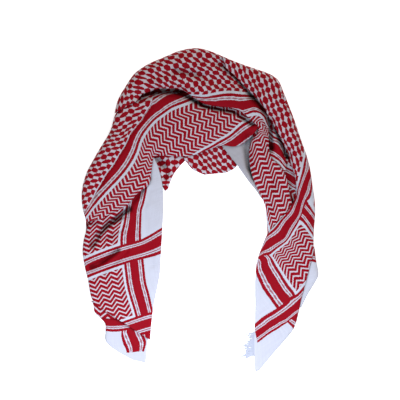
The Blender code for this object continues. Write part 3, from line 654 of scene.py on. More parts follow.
# This stretch and those after it have a table of sections, in turn along the stretch, one of marks
# for the threads and one of creases. The columns are the same in all of them.
LEFT_FOOT = (
    # outer x and y, inner x and y, outer and inner level, outer roll and drop, inner roll and drop
    (-200, -178, -106, -202, 0, 0, 4, 0, 4, 1),
    (-210, -198, -104, -222, 0.2, 0.1, 6, 3, 5, 2),
    (-202, -213, -103, -240, 0.4, 0.2, 7, 4, 6, 3),
    (-190, -227, -103.6, -254, 0.4, 0.2, 7, 4, 7, 4),
    (-189, -243, -105, -266, 0.3, 0.2, 7, 4, 7, 4),
    (-190, -258, -106, -278, 0.2, 0.1, 7, 4, 6, 3),
    (-180, -272, -106.6, -288, 0.1, 0, 6, 3, 5, 2),
    (-158, -287, -107.6, -296, 0, 0, 5, 0, 4, 0),
    (-134, -300, -109.5, -305, 0, 0, 3, 0, 3, 0),
)
LEFT_FOOT_MARKS = (
    # x, y, distance along the edge, distance in from it
    (-190, -239, 60.5, 135), (-176, -241, 60.5, 120), (-160, -240, 60.5, 104),
    (-136, -235, 60.5, 80), (-188, -224, 77, 134), (-164, -224, 77, 107), (-140, -224, 77, 84),
    (-156, -242, 58, 93.75), (-154, -256, 44, 93.75), (-150, -268, 32, 93.75),
    (-144, -280, 18, 93.75), (-146, -238, 60, 85.5), (-142, -256, 42, 85.5),
    (-136, -274, 24, 85.5), (-132, -236, 60, 69), (-126, -254, 40, 69), (-120, -272, 22, 69),
    (-118, -242, 54, 60.5), (-114, -254, 42, 60.5), (-110, -268, 28, 60.5),
    (-208, -192, 112, 155), (-106, -284, 12, 50),
)
LEFT_FOOT_CREASES = (
    # half width, depth, then plan points
    (5, 1.6, (-208, -190), (-186, -206), (-162, -216), (-132, -234)),
    (4, 1, (-172, -262), (-140, -250), (-118, -252)),
)
left_foot = lay_cloth("left_foot_cloth", LEFT_FOOT, LEFT_FOOT_MARKS,
                      LEFT_FOOT_CREASES)
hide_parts("left_foot")


# ---- The two flaps behind ----
# Two corners of the checked field show inside the arch, behind the band. They are single layers
# that hang down from the pile and lie with their tips on the surface.
LEFT_FLAP = (
    (-100, 128, -18, 128, 0, 0, 3, 0, 4, 0),
    (-98, 106, -26, 104, 0, 0.2, 3, 1, 9, 8),
    (-92, 88, -40, 88, 0, 0.2, 4, 3, 9, TO_FLOOR),
    (-85, 70, -51.4, 73, 0, 0.2, 4, 3, 8, TO_FLOOR),
    (-78, 52, -59, 57, 0, 0.2, 4, 3, 7, TO_FLOOR),
    (-70, 38, -64, 41, 0, 0, 2, 2, 2, TO_FLOOR),
)
LEFT_FLAP_MARKS = (
    (-90, 104, 420, 300), (-68, 40, 476, 330), (-32, 98, 456, 268), (-80, 64, 452, 320),
)
LEFT_FLAP_CREASES = (
    (3.5, 5, (-86, 108), (-78, 96), (-68, 84), (-64, 74), (-70, 64)),
)
left_flap = lay_cloth("left_flap_cloth", LEFT_FLAP, LEFT_FLAP_MARKS,
                      LEFT_FLAP_CREASES)
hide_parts("left_flap")

RIGHT_FLAP = (
    (-16, 128, 58, 142, 0, 0, 8, 3, 4, 0),
    (-31, 105, 68, 122, 0.2, 0, 9, 7, 4, 0),
    (-25, 93, 74, 106, 0.2, 0, 9, TO_FLOOR, 4, 3),
    (-16, 82, 74, 91, 0.2, 0, 9, TO_FLOOR, 4, 4),
    (-8, 77.5, 69, 83, 0.1, 0, 8, TO_FLOOR, 5, 2),
    (8, 70.6, 52, 74.6, -0.6, -0.7, 5, 2, 5, 0),
)
RIGHT_FLAP_MARKS = (
    (-30, 98, 491.3, 269.8), (10, 72, 478.2, 309.5), (74, 90, 518.2, 374.5),
    (24, 120, 532, 324.8),
)
RIGHT_FLAP_CREASES = (
    (5, 1.5, (2, 108), (24, 92), (52, 84)),
)
right_flap = lay_cloth("right_flap_cloth", RIGHT_FLAP, RIGHT_FLAP_MARKS,
                       RIGHT_FLAP_CREASES)
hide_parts("right_flap")


# ---- The tuck at the foot ----
# A slice of the herringbone shows between the left panel and its foot. It is the same cotton,
# turned under where the border makes a small pleat.
LEFT_TUCK = (
    (-218, -182, -164, -182, 0.8, 0.8, 4, 0, 4, 0),
    (-213, -190, -160, -192, 0.9, 0.9, 3, 1.5, 4, 0),
    (-211.6, -202, -156, -202, 0.9, 0.9, 3, 1.5, 4, 0),
    (-206, -211, -152, -212, 0.8, 0.8, 3, 1.5, 4, 0),
    (-194, -216, -148, -220, 0.7, 0.7, 3, 1, 4, 0),
)
LEFT_TUCK_MARKS = (
    (-212, -190, 150, 150), (-212, -216, 128, 150), (-184, -190, 150, 125),
    (-184, -216, 128, 125), (-200, -204, 138, 138),
)
LEFT_TUCK_CREASES = (
    (4, 1.5, (-204, -186), (-188, -200), (-168, -212)),
)
left_tuck = lay_cloth("left_tuck_cloth", LEFT_TUCK, LEFT_TUCK_MARKS,
                      LEFT_TUCK_CREASES)
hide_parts("left_foot")


# ---- The left corner panel ----
# The left corner of the cloth lies flat over the left leg with both borders showing: the plain
# margin and triple stripe along its inner side, the herringbone, and the stripes that cross it.
LEFT_PANEL = (
    (-108, 100, -92, 105, 0.1, 0.1, 3, 0, 3, 0),
    (-118, 80, -84, 86, 0.5, 0.7, 4, 0, 8, 6),
    (-138, 54, -77, 60, 0.9, 1, 4, 0, 10, 9),
    (-172, 28, -73.6, 34, 0.9, 1, 4, 0, 11, 9),
    (-202, 2, -73, 8, 0.9, 1, 4, 0, 12, 9),
    (-218, -22, -74, -18, 0.6, 1, 5, 3, 12, 9),
    (-229, -46, -75.4, -44, 0.9, 1, 12, 9, 12, 9),
    (-234, -68, -77, -70, 1, 1, 12, 9, 12, 8),
    (-234.6, -90, -78.4, -96, 1, 1, 12, 9, 12, 8),
    (-230, -116, -80, -124, 1, 1, 12, 8, 11, 8),
    (-224, -142, -84.6, -152, 1, 1, 11, 8, 10, 7),
    (-220, -166, -90, -176, 1, 1, 9, 7, 9, 7),
    (-217, -176, -94, -201, 1, 1, 6, 4, 7, 5),
    (-212, -184, -97, -226, 1, 1, 5, 3, 6, 4),
    (-206, -192, -100, -260, 1, 0.9, 5, 0, 4, 0),
)
LEFT_PANEL_MARKS = (
    (-156, -72, 240.5, 93.75), (-120, -62, 240.5, 60.5), (-76, -38, 240.5, 10.5),
    (-234, -102, 240.5, 177), (-232, -112, 232, 177), (-228, -124, 215, 177),
    (-226, -134, 206.5, 176), (-216, -182, 157.5, 176), (-149.6, -105.6, 206.5, 93.75),
    (-144, -148, 163.8, 93.75), (-140, -166, 145.4, 93.75), (-134, -186, 124.5, 93.75),
    (-128, -206, 103.7, 93.75), (-116, -96, 206.5, 60.5), (-113, -124, 178.3, 60.5),
    (-110, -146, 156.1, 60.5), (-104, -168, 133.3, 60.5), (-100, -186, 114.9, 60.5),
    (-96, -202, 98.5, 60.5), (-120, -30, 272.5, 60.5), (-118, 2, 304.6, 60.5),
    (-114, 14, 317.2, 60.5), (-111, 28, 331.6, 60.5), (-108, 44, 347.9, 60.5),
    (-92, 100, 410, 25), (-155, -44, 268.5, 93.75), (-151, -30, 283, 93.75),
    (-148, -12, 301.3, 93.75), (-84, -148, 160, 34), (-228, -34, 308, 172), (-235, -80, 262, 176),
)
LEFT_PANEL_CREASES = (
    (3.4, 7.5, *LEFT_LEG_FOLD),
    (6, 5.5, (-104, 64), (-116, 40), (-128, 24), (-140, 10)),
    (3, 4, (-156, -40), (-172, -48), (-186, -56)),
    (3, 4, (-146, -12), (-164, -20), (-192, -24), (-220, -28)),
    (4, 1.4, (-220, -72), (-204, -60), (-184, -52), (-164, -52)),
    (6, 1.6, (-100, 40), (-112, 0), (-108, -50), (-96, -110)),
    (4, 3, (-228, -142), (-204, -132), (-184, -116), (-164, -100), (-146, -82)),
    (3.4, 4.4, *LEFT_STRIPE_FOLD),
    (4, 1, (-208, -150), (-170, -160), (-130, -176)),
)
left_panel = lay_cloth("left_panel_cloth", LEFT_PANEL, LEFT_PANEL_MARKS,
                       LEFT_PANEL_CREASES, step=2.2)
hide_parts("left_panel")


# ---- The plain margin folded inside the arch ----
# The wide plain margin of the other side shows inside the right leg, where it stands up from the
# surface in a soft fold and leans on the pile.
WHITE_FOLD = (
    (44, 146, 114, 164, 0.9, 0.9, 4, 0, 4, 0),
    (47, 126, 122, 140, 1, 1, 8, 5, 4, 0),
    (60, 108, 124, 116, 1, 1, 10, 8, 4, 0),
    (74, 90, 126, 94, 1, 1, 10, TO_FLOOR, 4, 0),
    (86, 73, 130, 72, 0.9, 0.9, 10, TO_FLOOR, 4, 0),
    (99, 55, 134, 52, 0.7, 0.7, 9, TO_FLOOR, 4, 0),
    (112, 39, 139, 32, 0.5, 0.5, 7, TO_FLOOR, 4, 0),
    (121, 25, 144, 14, 0.3, 0.3, 4, 3, 3, 0),
)
WHITE_FOLD_MARKS = (
    (46, 126, 300, 30), (74, 90, 345, 18), (114, 40, 405, 6), (100, 140, 310, 52),
    (112, 80, 370, 40),
)
WHITE_FOLD_CREASES = (
    (7, 6, (100, 156), (96, 128), (100, 100), (108, 68)),
    (5, 3, (78, 146), (90, 120), (94, 92), (112, 60)),
)
white_fold = lay_cloth("white_fold_cloth", WHITE_FOLD, WHITE_FOLD_MARKS,
                       WHITE_FOLD_CREASES)
# Painted shade: a copy of the cotton with a greyer bleached ground stands in for the shade inside
# the turn.
painted_shade_cotton = keffiyeh_cotton.copy()
painted_shade_cotton.name = "keffiyeh_cotton_painted_shade"
painted_shade_cotton.node_tree.nodes[ground.node.name].inputs["A"].default_value = linear("#B2AFB0")
white_fold.data.materials[0] = painted_shade_cotton
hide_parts("white_fold")


# ---- The margin under the right leg ----
# A little of the plain margin of a lower layer pokes out beyond the right leg. It is the same
# cotton, and lies on the surface with its outer edge turned under.
RIGHT_UNDER = (
    (229, -74, 204, -68, 0.2, 0.2, 6, 3, 3, 0),
    (232, -98, 196, -92, 0.2, 0.2, 9, TO_FLOOR, 4, 0),
    (237, -128, 190, -122, 0.1, 0.1, 9, TO_FLOOR, 4, 0),
    (230, -145, 184, -148, 0, 0, 9, TO_FLOOR, 4, 0),
    (216, -168, 180, -174, 0, 0, 8, TO_FLOOR, 4, 0),
    (203, -194, 180, -202, 0, 0, 5, 2, 4, 0),
)
RIGHT_UNDER_MARKS = (
    (224, -76, 86, 44), (224, -99, 61, 44), (232, -104, 59, 40), (230, -79, 84, 40),
    (236, -132, 32, 36), (220, -160, 22, 20), (204, -186, 10, 6), (200, -180, 14, 12),
)
right_under = lay_cloth("right_under_cloth", RIGHT_UNDER, RIGHT_UNDER_MARKS)
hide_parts("right_under")


# ---- The front band ----
# The left border rises from the left leg and runs over the front of the arch: the herringbone,
# the triple stripes on both sides of it and, on the outside, the start of the checked field.
FRONT_BAND = (
    (-228, -24, -198, -18, 1.9, 1.9, 8, 5, 5, 0),
    (-236, 10, -176, -6, 2, 2.2, 12, 13, 6, 3),
    (-236, 40, -146, 10, 2, 2.6, 14, 15, 6, 6),
    (-228, 72, -124, 34, 2, 3, 15, 16, 6, 7),
    (-216, 96, -102, 52, 2, 3, 15, 17, 6, 7),
    (-200, 124, -96, 84, 2, 2.8, 15, 18, 6, 7),
    (-180, 158, -92, 106, 2, 2.4, 16, 19, 6, 4),
    (-170, 190, -78, 109, 2, 2.2, 14, 16, 8, 6),
    (-152, 216, -62, 108, 2, 2.2, 6, 3, 8, 6),
    (-120, 226, -44, 107, 2, 2.2, 8, 5, 8, 6),
    (-94, 233, -24, 108, 2, 2.2, 8, 6, 8, 6),
    (-68, 237, -2, 113, 2, 2.2, 8, 6, 8, 6),
    (-40, 235, 20, 122, 2, 2.2, 8, 5, 8, 6),
    (-14, 233, 44, 129, 2, 2.2, 5, 1, 9, 6),
    (20, 226, 68, 127, 2, 2.2, 4, 0, 9, 6),
    (52, 222, 88, 134, 2, 2, 4, 0, 9, 6),
    (80, 214, 104, 149, 2, 2, 4, 0, 7, 3),
    (104, 202, 116, 164, 2, 2, 3, 0, 4, 0),
    (120, 189, 126, 176, 2, 2, 2, 0, 2, 0),
)
FRONT_BAND_MARKS = (
    (-222.6, -9.4, 329, 201.5), (-217.4, -1.4, 339, 201.5), (-206.6, 10.6, 355.6, 201.5),
    (-196, 22.6, 372, 201.5), (-182.6, 37.4, 393, 201.5), (-164, 56.4, 421, 201.5),
    (-147, 76.4, 447.5, 201.5), (-132, 98.8, 474, 201.5), (-123, 119, 496, 201.5),
    (-116.2, 140.6, 519, 201.5), (-98.6, 167.2, 551, 201.5), (-87, 179, 567.6, 201.5),
    (-58, 200, 603.6, 201.5), (-30, 211, 634, 201.5), (-6, 222, 660, 201.5), (-209, 25, 368, 212),
    (-174, 62.4, 422, 212), (-143, 103.2, 473, 212), (-125.4, 144.6, 517.5, 212),
    (-105.6, 173, 551, 212), (-80, 196.2, 583, 212), (-201.4, 46, 392, 220),
    (-187.8, 70.6, 423, 226.5), (-160.8, 110.6, 471.6, 229), (-140, 150.2, 515, 226.5),
    (-115, 180.8, 551.5, 224), (-97, 209, 583, 232), (-90, 217, 592, 235), (-84, 222, 598, 235),
    (-96, 222, 592, 240.5), (-210.4, 34, 376, 217.5), (-218, 17, 358, 214.5),
    (-225, 4, 343, 214.5), (-224, 54, 392.5, 241.5), (-209, 80, 424, 250.5),
    (-193, 104.8, 453, 252), (-174.6, 131, 487.6, 250.8), (-157, 154, 519.6, 251),
    (-145, 181, 551.6, 251), (-170, 170, 540, 271), (-159, 201, 570, 273), (-236, 30, 363, 238.5),
    (-130, 220, 595, 268), (-211.2, -6.4, 337, 190.6), (-190, 17.2, 369.5, 190.6),
    (-157.6, 51.6, 420, 192), (-125, 94.8, 474, 193.3), (-109, 137, 522, 193.5),
    (-92.2, 162.4, 552, 193.5), (-54, 193, 602, 193.5), (-26.6, 203.8, 632, 193.5),
    (-204, -18, 329, 170.6), (-186, -10, 344, 160), (-156, 4, 374, 151), (-124, 34, 419, 151),
    (-100, 54, 447, 141), (-98, 80, 472, 154), (-92, 108, 510, 160), (-78, 110, 528, 147),
    (-90, 140, 540, 178), (-30, 164, 603, 158), (-50, 108, 550.5, 125), (-20, 110, 576, 105),
    (0, 118, 597, 98.5), (20, 129, 620, 98.5), (40, 141, 643, 98.5), (56, 150, 661.6, 98.5),
    (70, 162, 680, 98.5), (84, 174, 700, 98.5), (96, 180, 714, 98.5), (10, 214, 663, 188),
    (60, 204, 700, 137), (80, 194, 708, 117),
)
FRONT_BAND_CREASES = (
    (3.5, 2.6, (-214, 24), (-202, 45), (-188, 70), (-160.8, 111), (-140, 150), (-116, 180.4),
     (-96, 210)),
    (6, 1.5, (-150, 170), (-120, 150), (-60, 150), (0, 160)),
    (6, 10, (-120, 222), (-104, 230), (-86, 236), (-56, 237), (-30, 232), (-12, 222), (10, 210),
     (40, 204), (70, 198), (90, 184), (104, 174)),
)
# The upper stripe is folded on itself here, so the checks start close behind the herringbone.
FRONT_BAND_TUCK = (
    # distance along the edge, distance in from it
    (368, 214), (392, 220), (423, 226.5), (471, 229), (515, 226.5), (551, 224), (583, 233),
    (600, 246),
)
front_band = lay_cloth("front_band_cloth", FRONT_BAND, FRONT_BAND_MARKS,
                       FRONT_BAND_CREASES, step=1.8, tuck=FRONT_BAND_TUCK)
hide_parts("front_band")


# ---- Two pleats beside the right leg ----
# Below the head of the arch the border is gathered into a deep pleat, and a slice of the next turn
# of the border shows between it and the outer fold. Both lie lower than what is beside them.
LEG_TUCK = (
    (160, 104, 208, 100, 0.8, 0.9, 4, 0, 4, 0),
    (162, 80, 210, 76, 0.9, 0.9, 4, 0, 4, 0),
    (162, 56, 210, 52, 1, 0.9, 4, 0, 4, 0),
    (164, 32, 206, 28, 0.9, 0.8, 4, 0, 4, 0),
    (168, 8, 200, 4, 0.6, 0.6, 4, 0, 4, 0),
)
LEG_TUCK_MARKS = (
    (171.2, 85, 300, 240.5), (187.2, 77, 318, 240.5), (170, 78, 302, 232), (170, 60, 306, 215),
    (187.2, 68, 320, 232), (187.2, 50, 324, 215), (171.2, 57.2, 307, 206.5),
    (187.2, 46, 325, 206.5), (174, 50, 310, 199), (188, 41.2, 326, 199), (182, 20, 324, 176),
)
LEG_TUCK_CREASES = (
    (4, 2.5, (186, 80), (192, 60), (194, 30)),
)
leg_tuck = lay_cloth("leg_tuck_cloth", LEG_TUCK, LEG_TUCK_MARKS, LEG_TUCK_CREASES)
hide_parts("top_bundle")

LEG_PLEAT = (
    (120, 220, 168, 228, 2, 3.4, 4, 0, 4, 0),
    (126, 196, 172, 208, 1.6, 2.2, 4, 0, 4, 0),
    (130, 172, 178, 180, 1.4, 1.6, 4, 0, 4, 0),
    (132, 148, 178, 156, 1.4, 1.4, 4, 0, 4, 0),
    (134, 124, 173, 130, 1.6, 1.5, 4, 0, 4, 1),
    (136, 104, 171, 108, 1.5, 1.6, 4, 0, 4, 3),
    (140, 84, 172, 86, 1.2, 1.5, 4, 0, 4, 3),
    (144, 64, 168, 64, 0.9, 1, 4, 0, 4, 2),
)
LEG_PLEAT_MARKS = (
    (136, 178, 850, 262), (146, 162, 868, 262), (160, 158, 876, 270), (140, 154, 870, 241),
    (154, 144, 886, 241), (166, 134, 900, 241), (142, 136, 884, 232), (152, 134, 894, 232),
    (162, 122, 908, 232), (170, 108, 922, 232), (140, 120, 896, 215), (152, 114, 908, 215),
    (164, 104, 920, 215), (168, 94, 930, 212), (138, 112, 900, 206.5), (152, 104, 914, 206.5),
    (162, 96, 924, 206.5), (168, 89, 932, 206.5), (146, 103, 927, 201), (168, 83, 953, 201),
    (140, 92, 933, 184), (160, 76, 958, 181), (146, 64, 964, 152), (168, 64, 980, 174.5),
)
LEG_PLEAT_CREASES = (
    (5, 9, (124, 214), (134, 196), (146, 176), (160, 154), (170, 128), (176, 100), (182, 80)),
    (5, 8, (132, 188), (140, 160), (142, 126)),
)
leg_pleat = lay_cloth("leg_pleat_cloth", LEG_PLEAT, LEG_PLEAT_MARKS,
                      LEG_PLEAT_CREASES)
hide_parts("top_bundle")


# ---- The top bundle ----
# The checked field and border are gathered over the head of the arch and turned down along the
# right leg. It overhangs the front band in a full roll that leaves a dark gap below.
TOP_BUNDLE = (
    (-171, 194, -126, 218, 3, 3, 13, 17, 6, 0),
    (-164, 221, -116, 231, 3.1, 3.2, 15, 20, 8, 3),
    (-150, 246, -100, 236.6, 3.3, 3.6, 17, 23, 10, 6),
    (-131, 273, -84, 242, 3.5, 4.2, 18, 25, 12, 9),
    (-104, 292, -66, 243, 3.6, 4.6, 19, 26, 12, 10),
    (-72, 306, -48, 242, 3.7, 4.6, 20, 26, 12, 10),
    (-40, 319, -30, 237, 3.7, 4.6, 20, 26, 12, 10),
    (-6, 324, -12, 224, 3.7, 4.4, 20, 26, 11, 9),
    (26, 316, 10, 212, 3.6, 4.2, 20, 25, 10, 8),
    (56, 301, 38, 207, 3.2, 4, 14, 14, 10, 8),
    (82, 282, 64, 204, 3, 3.8, 8, 3, 9, 7),
    (106, 264, 84, 196, 3, 3.6, 4, 0, 9, 6),
    (128, 243, 98, 184, 3, 3.4, 4, 0, 7, 5),
    (140, 212, 110, 173, 2.9, 3.2, 5, 3, 6, 4),
    (138, 184, 117, 165, 2.7, 3, 8, 5, 6, 4),
    (137.5, 158, 114, 151, 2.7, 2.8, 8, 6, 7, 4),
    (138, 130, 103, 138, 2.6, 2.6, 8, 6, 8, 5),
    (142, 106, 98, 116, 2.3, 2.4, 6, 3, 9, 5),
    (164, 82, 100, 88, 2, 2.2, 5, 1, 9, 5),
    (176, 56, 107, 60, 2, 2, 5, 2, 9, 5),
    (180, 26, 119, 33, 2, 2, 5, 2, 10, 8),
    (188, 2, 130, 8, 1.8, 1.8, 4, 1, 11, 10),
    (192, -26, 133, -22, 1.4, 1.4, 4, 0, 11, 10),
    (178, -52, 135, -52, 1, 1, 4, 0, 8, 4),
    (162, -72, 134, -74, 0.8, 0.8, 3, 0, 3, 0),
)
TOP_BUNDLE_MARKS = (
    (-114, 228, 585, 259), (-86, 239, 615, 270), (-56, 240, 645, 268), (-30, 235, 671, 258),
    (-12, 224, 692, 240), (10, 212, 717, 222), (38, 208, 745, 219), (64, 204, 771, 216),
    (84, 196, 793, 213), (98, 184, 812, 197), (110, 173, 826, 185), (117, 165, 838, 170),
    (-134, 160, 525, 232), (-126, 224, 573, 258), (-157, 120, 478.5, 232), (-170, 200, 529, 300),
    (-148, 260, 586, 306), (-120, 282, 620, 321), (-74, 304, 667, 334), (-26, 322, 710, 345),
    (-8, 324, 726, 345), (24, 317, 754, 338), (70, 297, 797, 325), (98, 286, 824, 314),
    (-72, 283, 656, 309), (-40, 288, 688, 308), (10, 224, 712, 240.5), (26, 227, 728, 240.5),
    (44, 230, 746, 240.5), (64, 231, 766, 240.5), (86, 229, 788, 240.5), (104, 227, 806, 240.5),
    (30, 218, 735, 232), (56, 220, 761, 232), (80, 218, 785, 232), (104, 221, 808, 232),
    (116, 218, 822, 232), (124, 208, 834, 232), (76, 202, 783, 215), (100, 203, 806, 215),
    (116, 203, 824, 215), (100, 196, 809, 206.5), (114, 197, 822, 206.5), (122, 194, 832, 206.5),
    (130, 186, 842, 206.5), (114, 192, 824, 201.5), (124, 186, 834, 201.5),
    (132, 172, 850, 201.5), (118, 168, 852, 170), (115.6, 146, 879, 150), (132, 148, 887, 168),
    (102, 120, 886.7, 125.5), (104.6, 106, 900.9, 125.5), (107.2, 93.2, 913.8, 125.5),
    (114.6, 78, 929, 125.5), (121.4, 60.6, 946.7, 125.5), (130, 40, 967.5, 125.5),
    (139, 20, 987.7, 125.5), (145.2, 4, 1003.9, 125.5), (150, -12, 1020, 125.5),
    (120.6, 136.4, 888.7, 150), (125, 120, 905.3, 150), (132, 100, 925.5, 150),
    (145, 60, 966, 150), (154, 40, 986, 150), (163, 20, 1006.3, 150), (171, 0, 1026.6, 150),
    (168, 60, 984, 174.5), (177, 40, 1005, 174.5), (178, 60, 992, 185), (128, 20, 978.4, 113.2),
    (136, 4, 996.8, 113.2), (141, -12, 1013, 113.2), (134, -12, 1007.6, 101),
    (137.6, -28, 1024, 101), (142, -44, 1041, 101), (130.4, -28, 1019, 93.8),
    (135.6, -52, 1043, 93.8), (174, -24, 1053, 146),
)
TOP_BUNDLE_CREASES = (
    (7, 2, (-64, 282), (-40, 278), (-20, 274), (0, 272)),
    (3.2, 2.8, (-52, 280), (-38, 277), (-24, 274), (-10, 271), (6, 268)),
    (6, 6, (38, 294), (56, 284), (76, 262), (96, 240), (116, 220), (128, 204)),
    (4, 3, (52, 276), (66, 256), (80, 240)),
    (5, 4, (180, 80), (186, 64), (190, 40), (192, 20), (186, 8)),
    (4, 2.2, *UPPER_LEG_FOLD),
    (4, 2.2, *LOWER_LEG_FOLD),
)
top_bundle = lay_cloth("top_bundle_cloth", TOP_BUNDLE, TOP_BUNDLE_MARKS,
                       TOP_BUNDLE_CREASES, step=2.5)
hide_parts("top_bundle")


# ---- The right outer fold ----
# The other end of the cloth is drawn over the outside of the arch in a puffed fold, down the right
# leg to the right corner, where both borders show and the corner itself is the tip.
RIGHT_OUTER = (
    (44, 308, 52, 284, 4.2, 4.2, 12, 14, 6, 0),
    (68, 298, 69, 269, 4.2, 4.3, 14, 22, 6, 0.5),
    (92, 289, 84, 253, 4.2, 4.5, 15, 26, 7, 2),
    (116, 281, 99, 237, 4.2, 4.8, 16, 27, 8, 5),
    (140, 272, 114, 222, 4.2, 5.2, 16, 27, 8, 9),
    (157, 259, 127, 206, 4.2, 5.2, 16, 27, 8, 9),
    (168, 234, 137, 188, 4, 5, 16, 26, 8, 9),
    (180, 204, 148, 168, 3.8, 4.8, 16, 24, 8, 9),
    (192, 172, 159, 148, 3.6, 4.6, 16, 23, 8, 9),
    (202, 142, 170, 126, 3.4, 4.4, 15, 22, 8, 8),
    (212, 114, 179, 102, 3.3, 4.2, 15, 21, 8, 8),
    (220, 84, 186, 80, 3.2, 4, 14, 20, 8, 7),
    (225, 52, 192, 54, 3.1, 3.6, 14, 18, 7, 6),
    (229.4, 20, 191, 26, 3, 3.2, 14, 17, 6, 4),
    (230.6, -8, 179, 2, 2.8, 3, 13, 16, 5, 3),
    (228, -38, 156, -24, 2.5, 2.7, 13, 14, 4, 3),
    (227.4, -64, 134, -50, 2.2, 2.3, 12, 11, 5, 3),
    (227, -84, 122, -78, 1.8, 1.8, 10, 8, 10, 8),
    (222, -104, 114, -102, 1.4, 1.4, 6, 3, 11, 9),
    (216, -128, 111, -126, 1.2, 1.2, 5, 3, 11, 8),
    (209, -154, 110, -154, 1.2, 1.1, 5, 3, 10, 7),
    (202, -180, 110.4, -184, 1.2, 0.9, 5, 3, 9, 6),
    (197, -206, 110, -214, 1, 0.7, 5, 3, 8, 5),
    (188, -236, 108.6, -244, 0.5, 0.5, 7, 4, 7, 2),
    (168, -262, 108, -270, 0.3, 0.3, 6, 3, 6, 1.5),
    (147, -286, 108.4, -294, 0.1, 0.1, 5, 1.5, 5, 1),
    (129, -308, 109, -312, 0, 0, 4, 0, 4, 0),
    (119, -320, 111, -324, 0, 0, 2, 0, 2, 0),
)
RIGHT_OUTER_MARKS = (
    (218, 80, 1098, 300), (196, 20, 1098, 238), (170, -24, 1098, 190), (132, -62, 1098, 137),
    (122, -80, 1098, 117), (222, 60, 1115, 282), (198, -10, 1115, 212), (170, -56, 1115, 157),
    (140, -76, 1115, 122), (124, -82, 1115, 104), (212, 16, 1126, 240.5), (209, 6, 1126, 232),
    (204, -8, 1126, 215), (200, -18, 1126, 206.5), (140, -90, 1126, 98.5),
    (136, -90, 1126, 93.75), (128, -92, 1126, 85.5), (116, -96, 1126, 69), (216, 94, 1093, 310),
    (206, 130, 1076, 336), (194, 166, 1057, 361), (176, 212, 1030, 391), (162, 252, 1008, 418),
    (128, 278, 968, 420), (90, 288, 927, 405), (50, 300, 883, 390), (180, 120, 1051, 312),
    (156, 178, 1016, 348), (132, 216, 984, 367), (98, 250, 942, 376), (192, 80, 1072, 284),
    (192, -170, 1234, 98.5), (180, -174, 1234, 85.5), (156, -196, 1234, 60.5),
    (170, -146, 1202, 93.75), (158, -126, 1181, 93.75), (146, -106, 1156, 93.75),
    (136, -108, 1144, 85.5), (146, -126, 1166, 85.5), (158, -146, 1191, 85.5),
    (170, -164, 1214, 85.5), (122, -112, 1142, 69), (130, -132, 1165, 69), (140, -150, 1186, 69),
    (152, -168, 1209, 69), (166, -188, 1234, 69), (112, -116, 1147, 60.5),
    (118, -134, 1168, 60.5), (126, -152, 1189, 60.5), (136, -168, 1208, 60.5),
    (146, -182, 1222, 60.5), (110, -232, 1236.25, 2.5), (124, -220, 1236.25, 20),
    (140, -210, 1236.25, 38), (170, -190, 1236.25, 70), (196, -170, 1236.25, 98),
    (112, -242, 1244.5, 3), (130, -230, 1244.5, 24), (150, -216, 1244.5, 47),
    (186, -190, 1244.5, 88), (202, -174, 1244.5, 106), (116, -254, 1261, 4),
    (140, -236, 1261, 30), (160, -224, 1261, 49.5), (180, -212, 1261, 70.6),
    (198, -199, 1261, 92), (118, -261, 1269.5, 4), (132, -250, 1269.5, 18),
    (150, -239, 1269.5, 35), (176, -224, 1269.5, 60), (198, -204, 1269.5, 90),
    (176.8, -225.2, 1277, 58), (187.8, -239, 1294, 58), (182, -222, 1277, 66),
    (193.2, -229.4, 1289, 66), (150, -280, 1310, 28), (202.6, -16, 1130, 206.5),
    (215, -32, 1146, 206.5), (227.2, -49, 1164, 206.5), (214.4, 9.6, 1129, 240.5),
    (222, 0, 1140, 240.5), (229.6, -9.2, 1151, 240.5), (200, -60, 1158, 174),
    (210, -80, 1180, 170), (190, -100, 1187, 138), (227, 32, 1129.5, 262), (228, 18, 1130, 250),
    (112, -324, 1330, 0),
)
RIGHT_OUTER_CREASES = (
    (6, 2.4, (92, 276), (112, 256), (132, 232), (152, 196)),
    (5, 1.8, (192, 180), (206, 120), (214, 68)),
    (5, 1.8, (180, -30), (168, -60), (152, -84)),
    (5, 2, (224, -30), (212, -80), (200, -130), (184, -180)),
    (5, 1.4, (124, -104), (144, -160), (168, -200)),
)
right_outer = lay_cloth("right_outer_cloth", RIGHT_OUTER, RIGHT_OUTER_MARKS,
                        RIGHT_OUTER_CREASES)
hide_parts("right_outer")


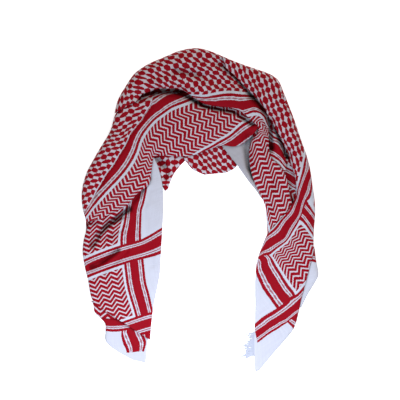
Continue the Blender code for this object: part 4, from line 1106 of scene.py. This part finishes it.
# ---- The surface, the light and the camera ----
# A plain pale surface under a broad soft light from the far side and a cooler one over the near
# end, seen from straight above. Places are in metres.
FLOOR_REACH = 3.0       # how far the surface goes from the middle
EYE = (0.0, 0.020, 1.5)
SEEN_WIDTH = 0.8        # how much of the surface the camera takes in

# Matt white paint that glows a little, as a well-lit backdrop does.
pale_paint = bpy.data.materials.new("matt_white_paint")
pale_paint.use_nodes = True
paint = pale_paint.node_tree.nodes["Principled BSDF"]
for socket, value in (("Base Color", linear("#F8F8FA")), ("Emission Color", linear("#FFFFFF")),
                      ("Emission Strength", 0.8), ("Roughness", 0.9),
                      ("Specular IOR Level", 0.1)):
    paint.inputs[socket].default_value = value
floor_shape = bmesh.new()
bmesh.ops.create_grid(floor_shape, x_segments=1, y_segments=1, size=FLOOR_REACH)
floor_mesh = bpy.data.meshes.new("surface")
floor_shape.to_mesh(floor_mesh)
floor_shape.free()
floor_mesh.materials.append(pale_paint)
floor = bpy.data.objects.new("surface", floor_mesh)
bpy.context.scene.collection.objects.link(floor)

world = bpy.data.worlds.new("white_room")
world.use_nodes = True
world.node_tree.nodes["Background"].inputs["Color"].default_value = linear("#F6F4F2")
world.node_tree.nodes["Background"].inputs["Strength"].default_value = 0.25
bpy.context.scene.world = world
bpy.context.scene.view_settings.view_transform = "Standard"


def hang_light(name, place, aim, size, power, tint):
    """A square soft light at a place, turned to an aim."""
    lamp = bpy.data.lights.new(name, "AREA")
    lamp.shape = "SQUARE"
    lamp.size = size
    lamp.energy = power
    lamp.color = linear(tint)[:3]
    lit = bpy.data.objects.new(name, lamp)
    lit.location = place
    lit.rotation_euler = (Vector(aim) - Vector(place)).to_track_quat("-Z", "Y").to_euler()
    bpy.context.scene.collection.objects.link(lit)


hang_light("far_light", (0.6, 1.7, 1.5), aim=(0.0, 0.0, 0.0), size=0.5, power=16.5,
           tint="#FFFAF4")
hang_light("near_light", (-0.02, -0.42, 0.60), aim=(-0.02, -0.36, 0.0), size=0.45, power=6.3,
           tint="#DCE6FF")

lens = bpy.data.cameras.new("overhead")
lens.type = "ORTHO"
lens.ortho_scale = SEEN_WIDTH
camera = bpy.data.objects.new("overhead", lens)
camera.location = EYE
bpy.context.scene.collection.objects.link(camera)
bpy.context.scene.camera = camera
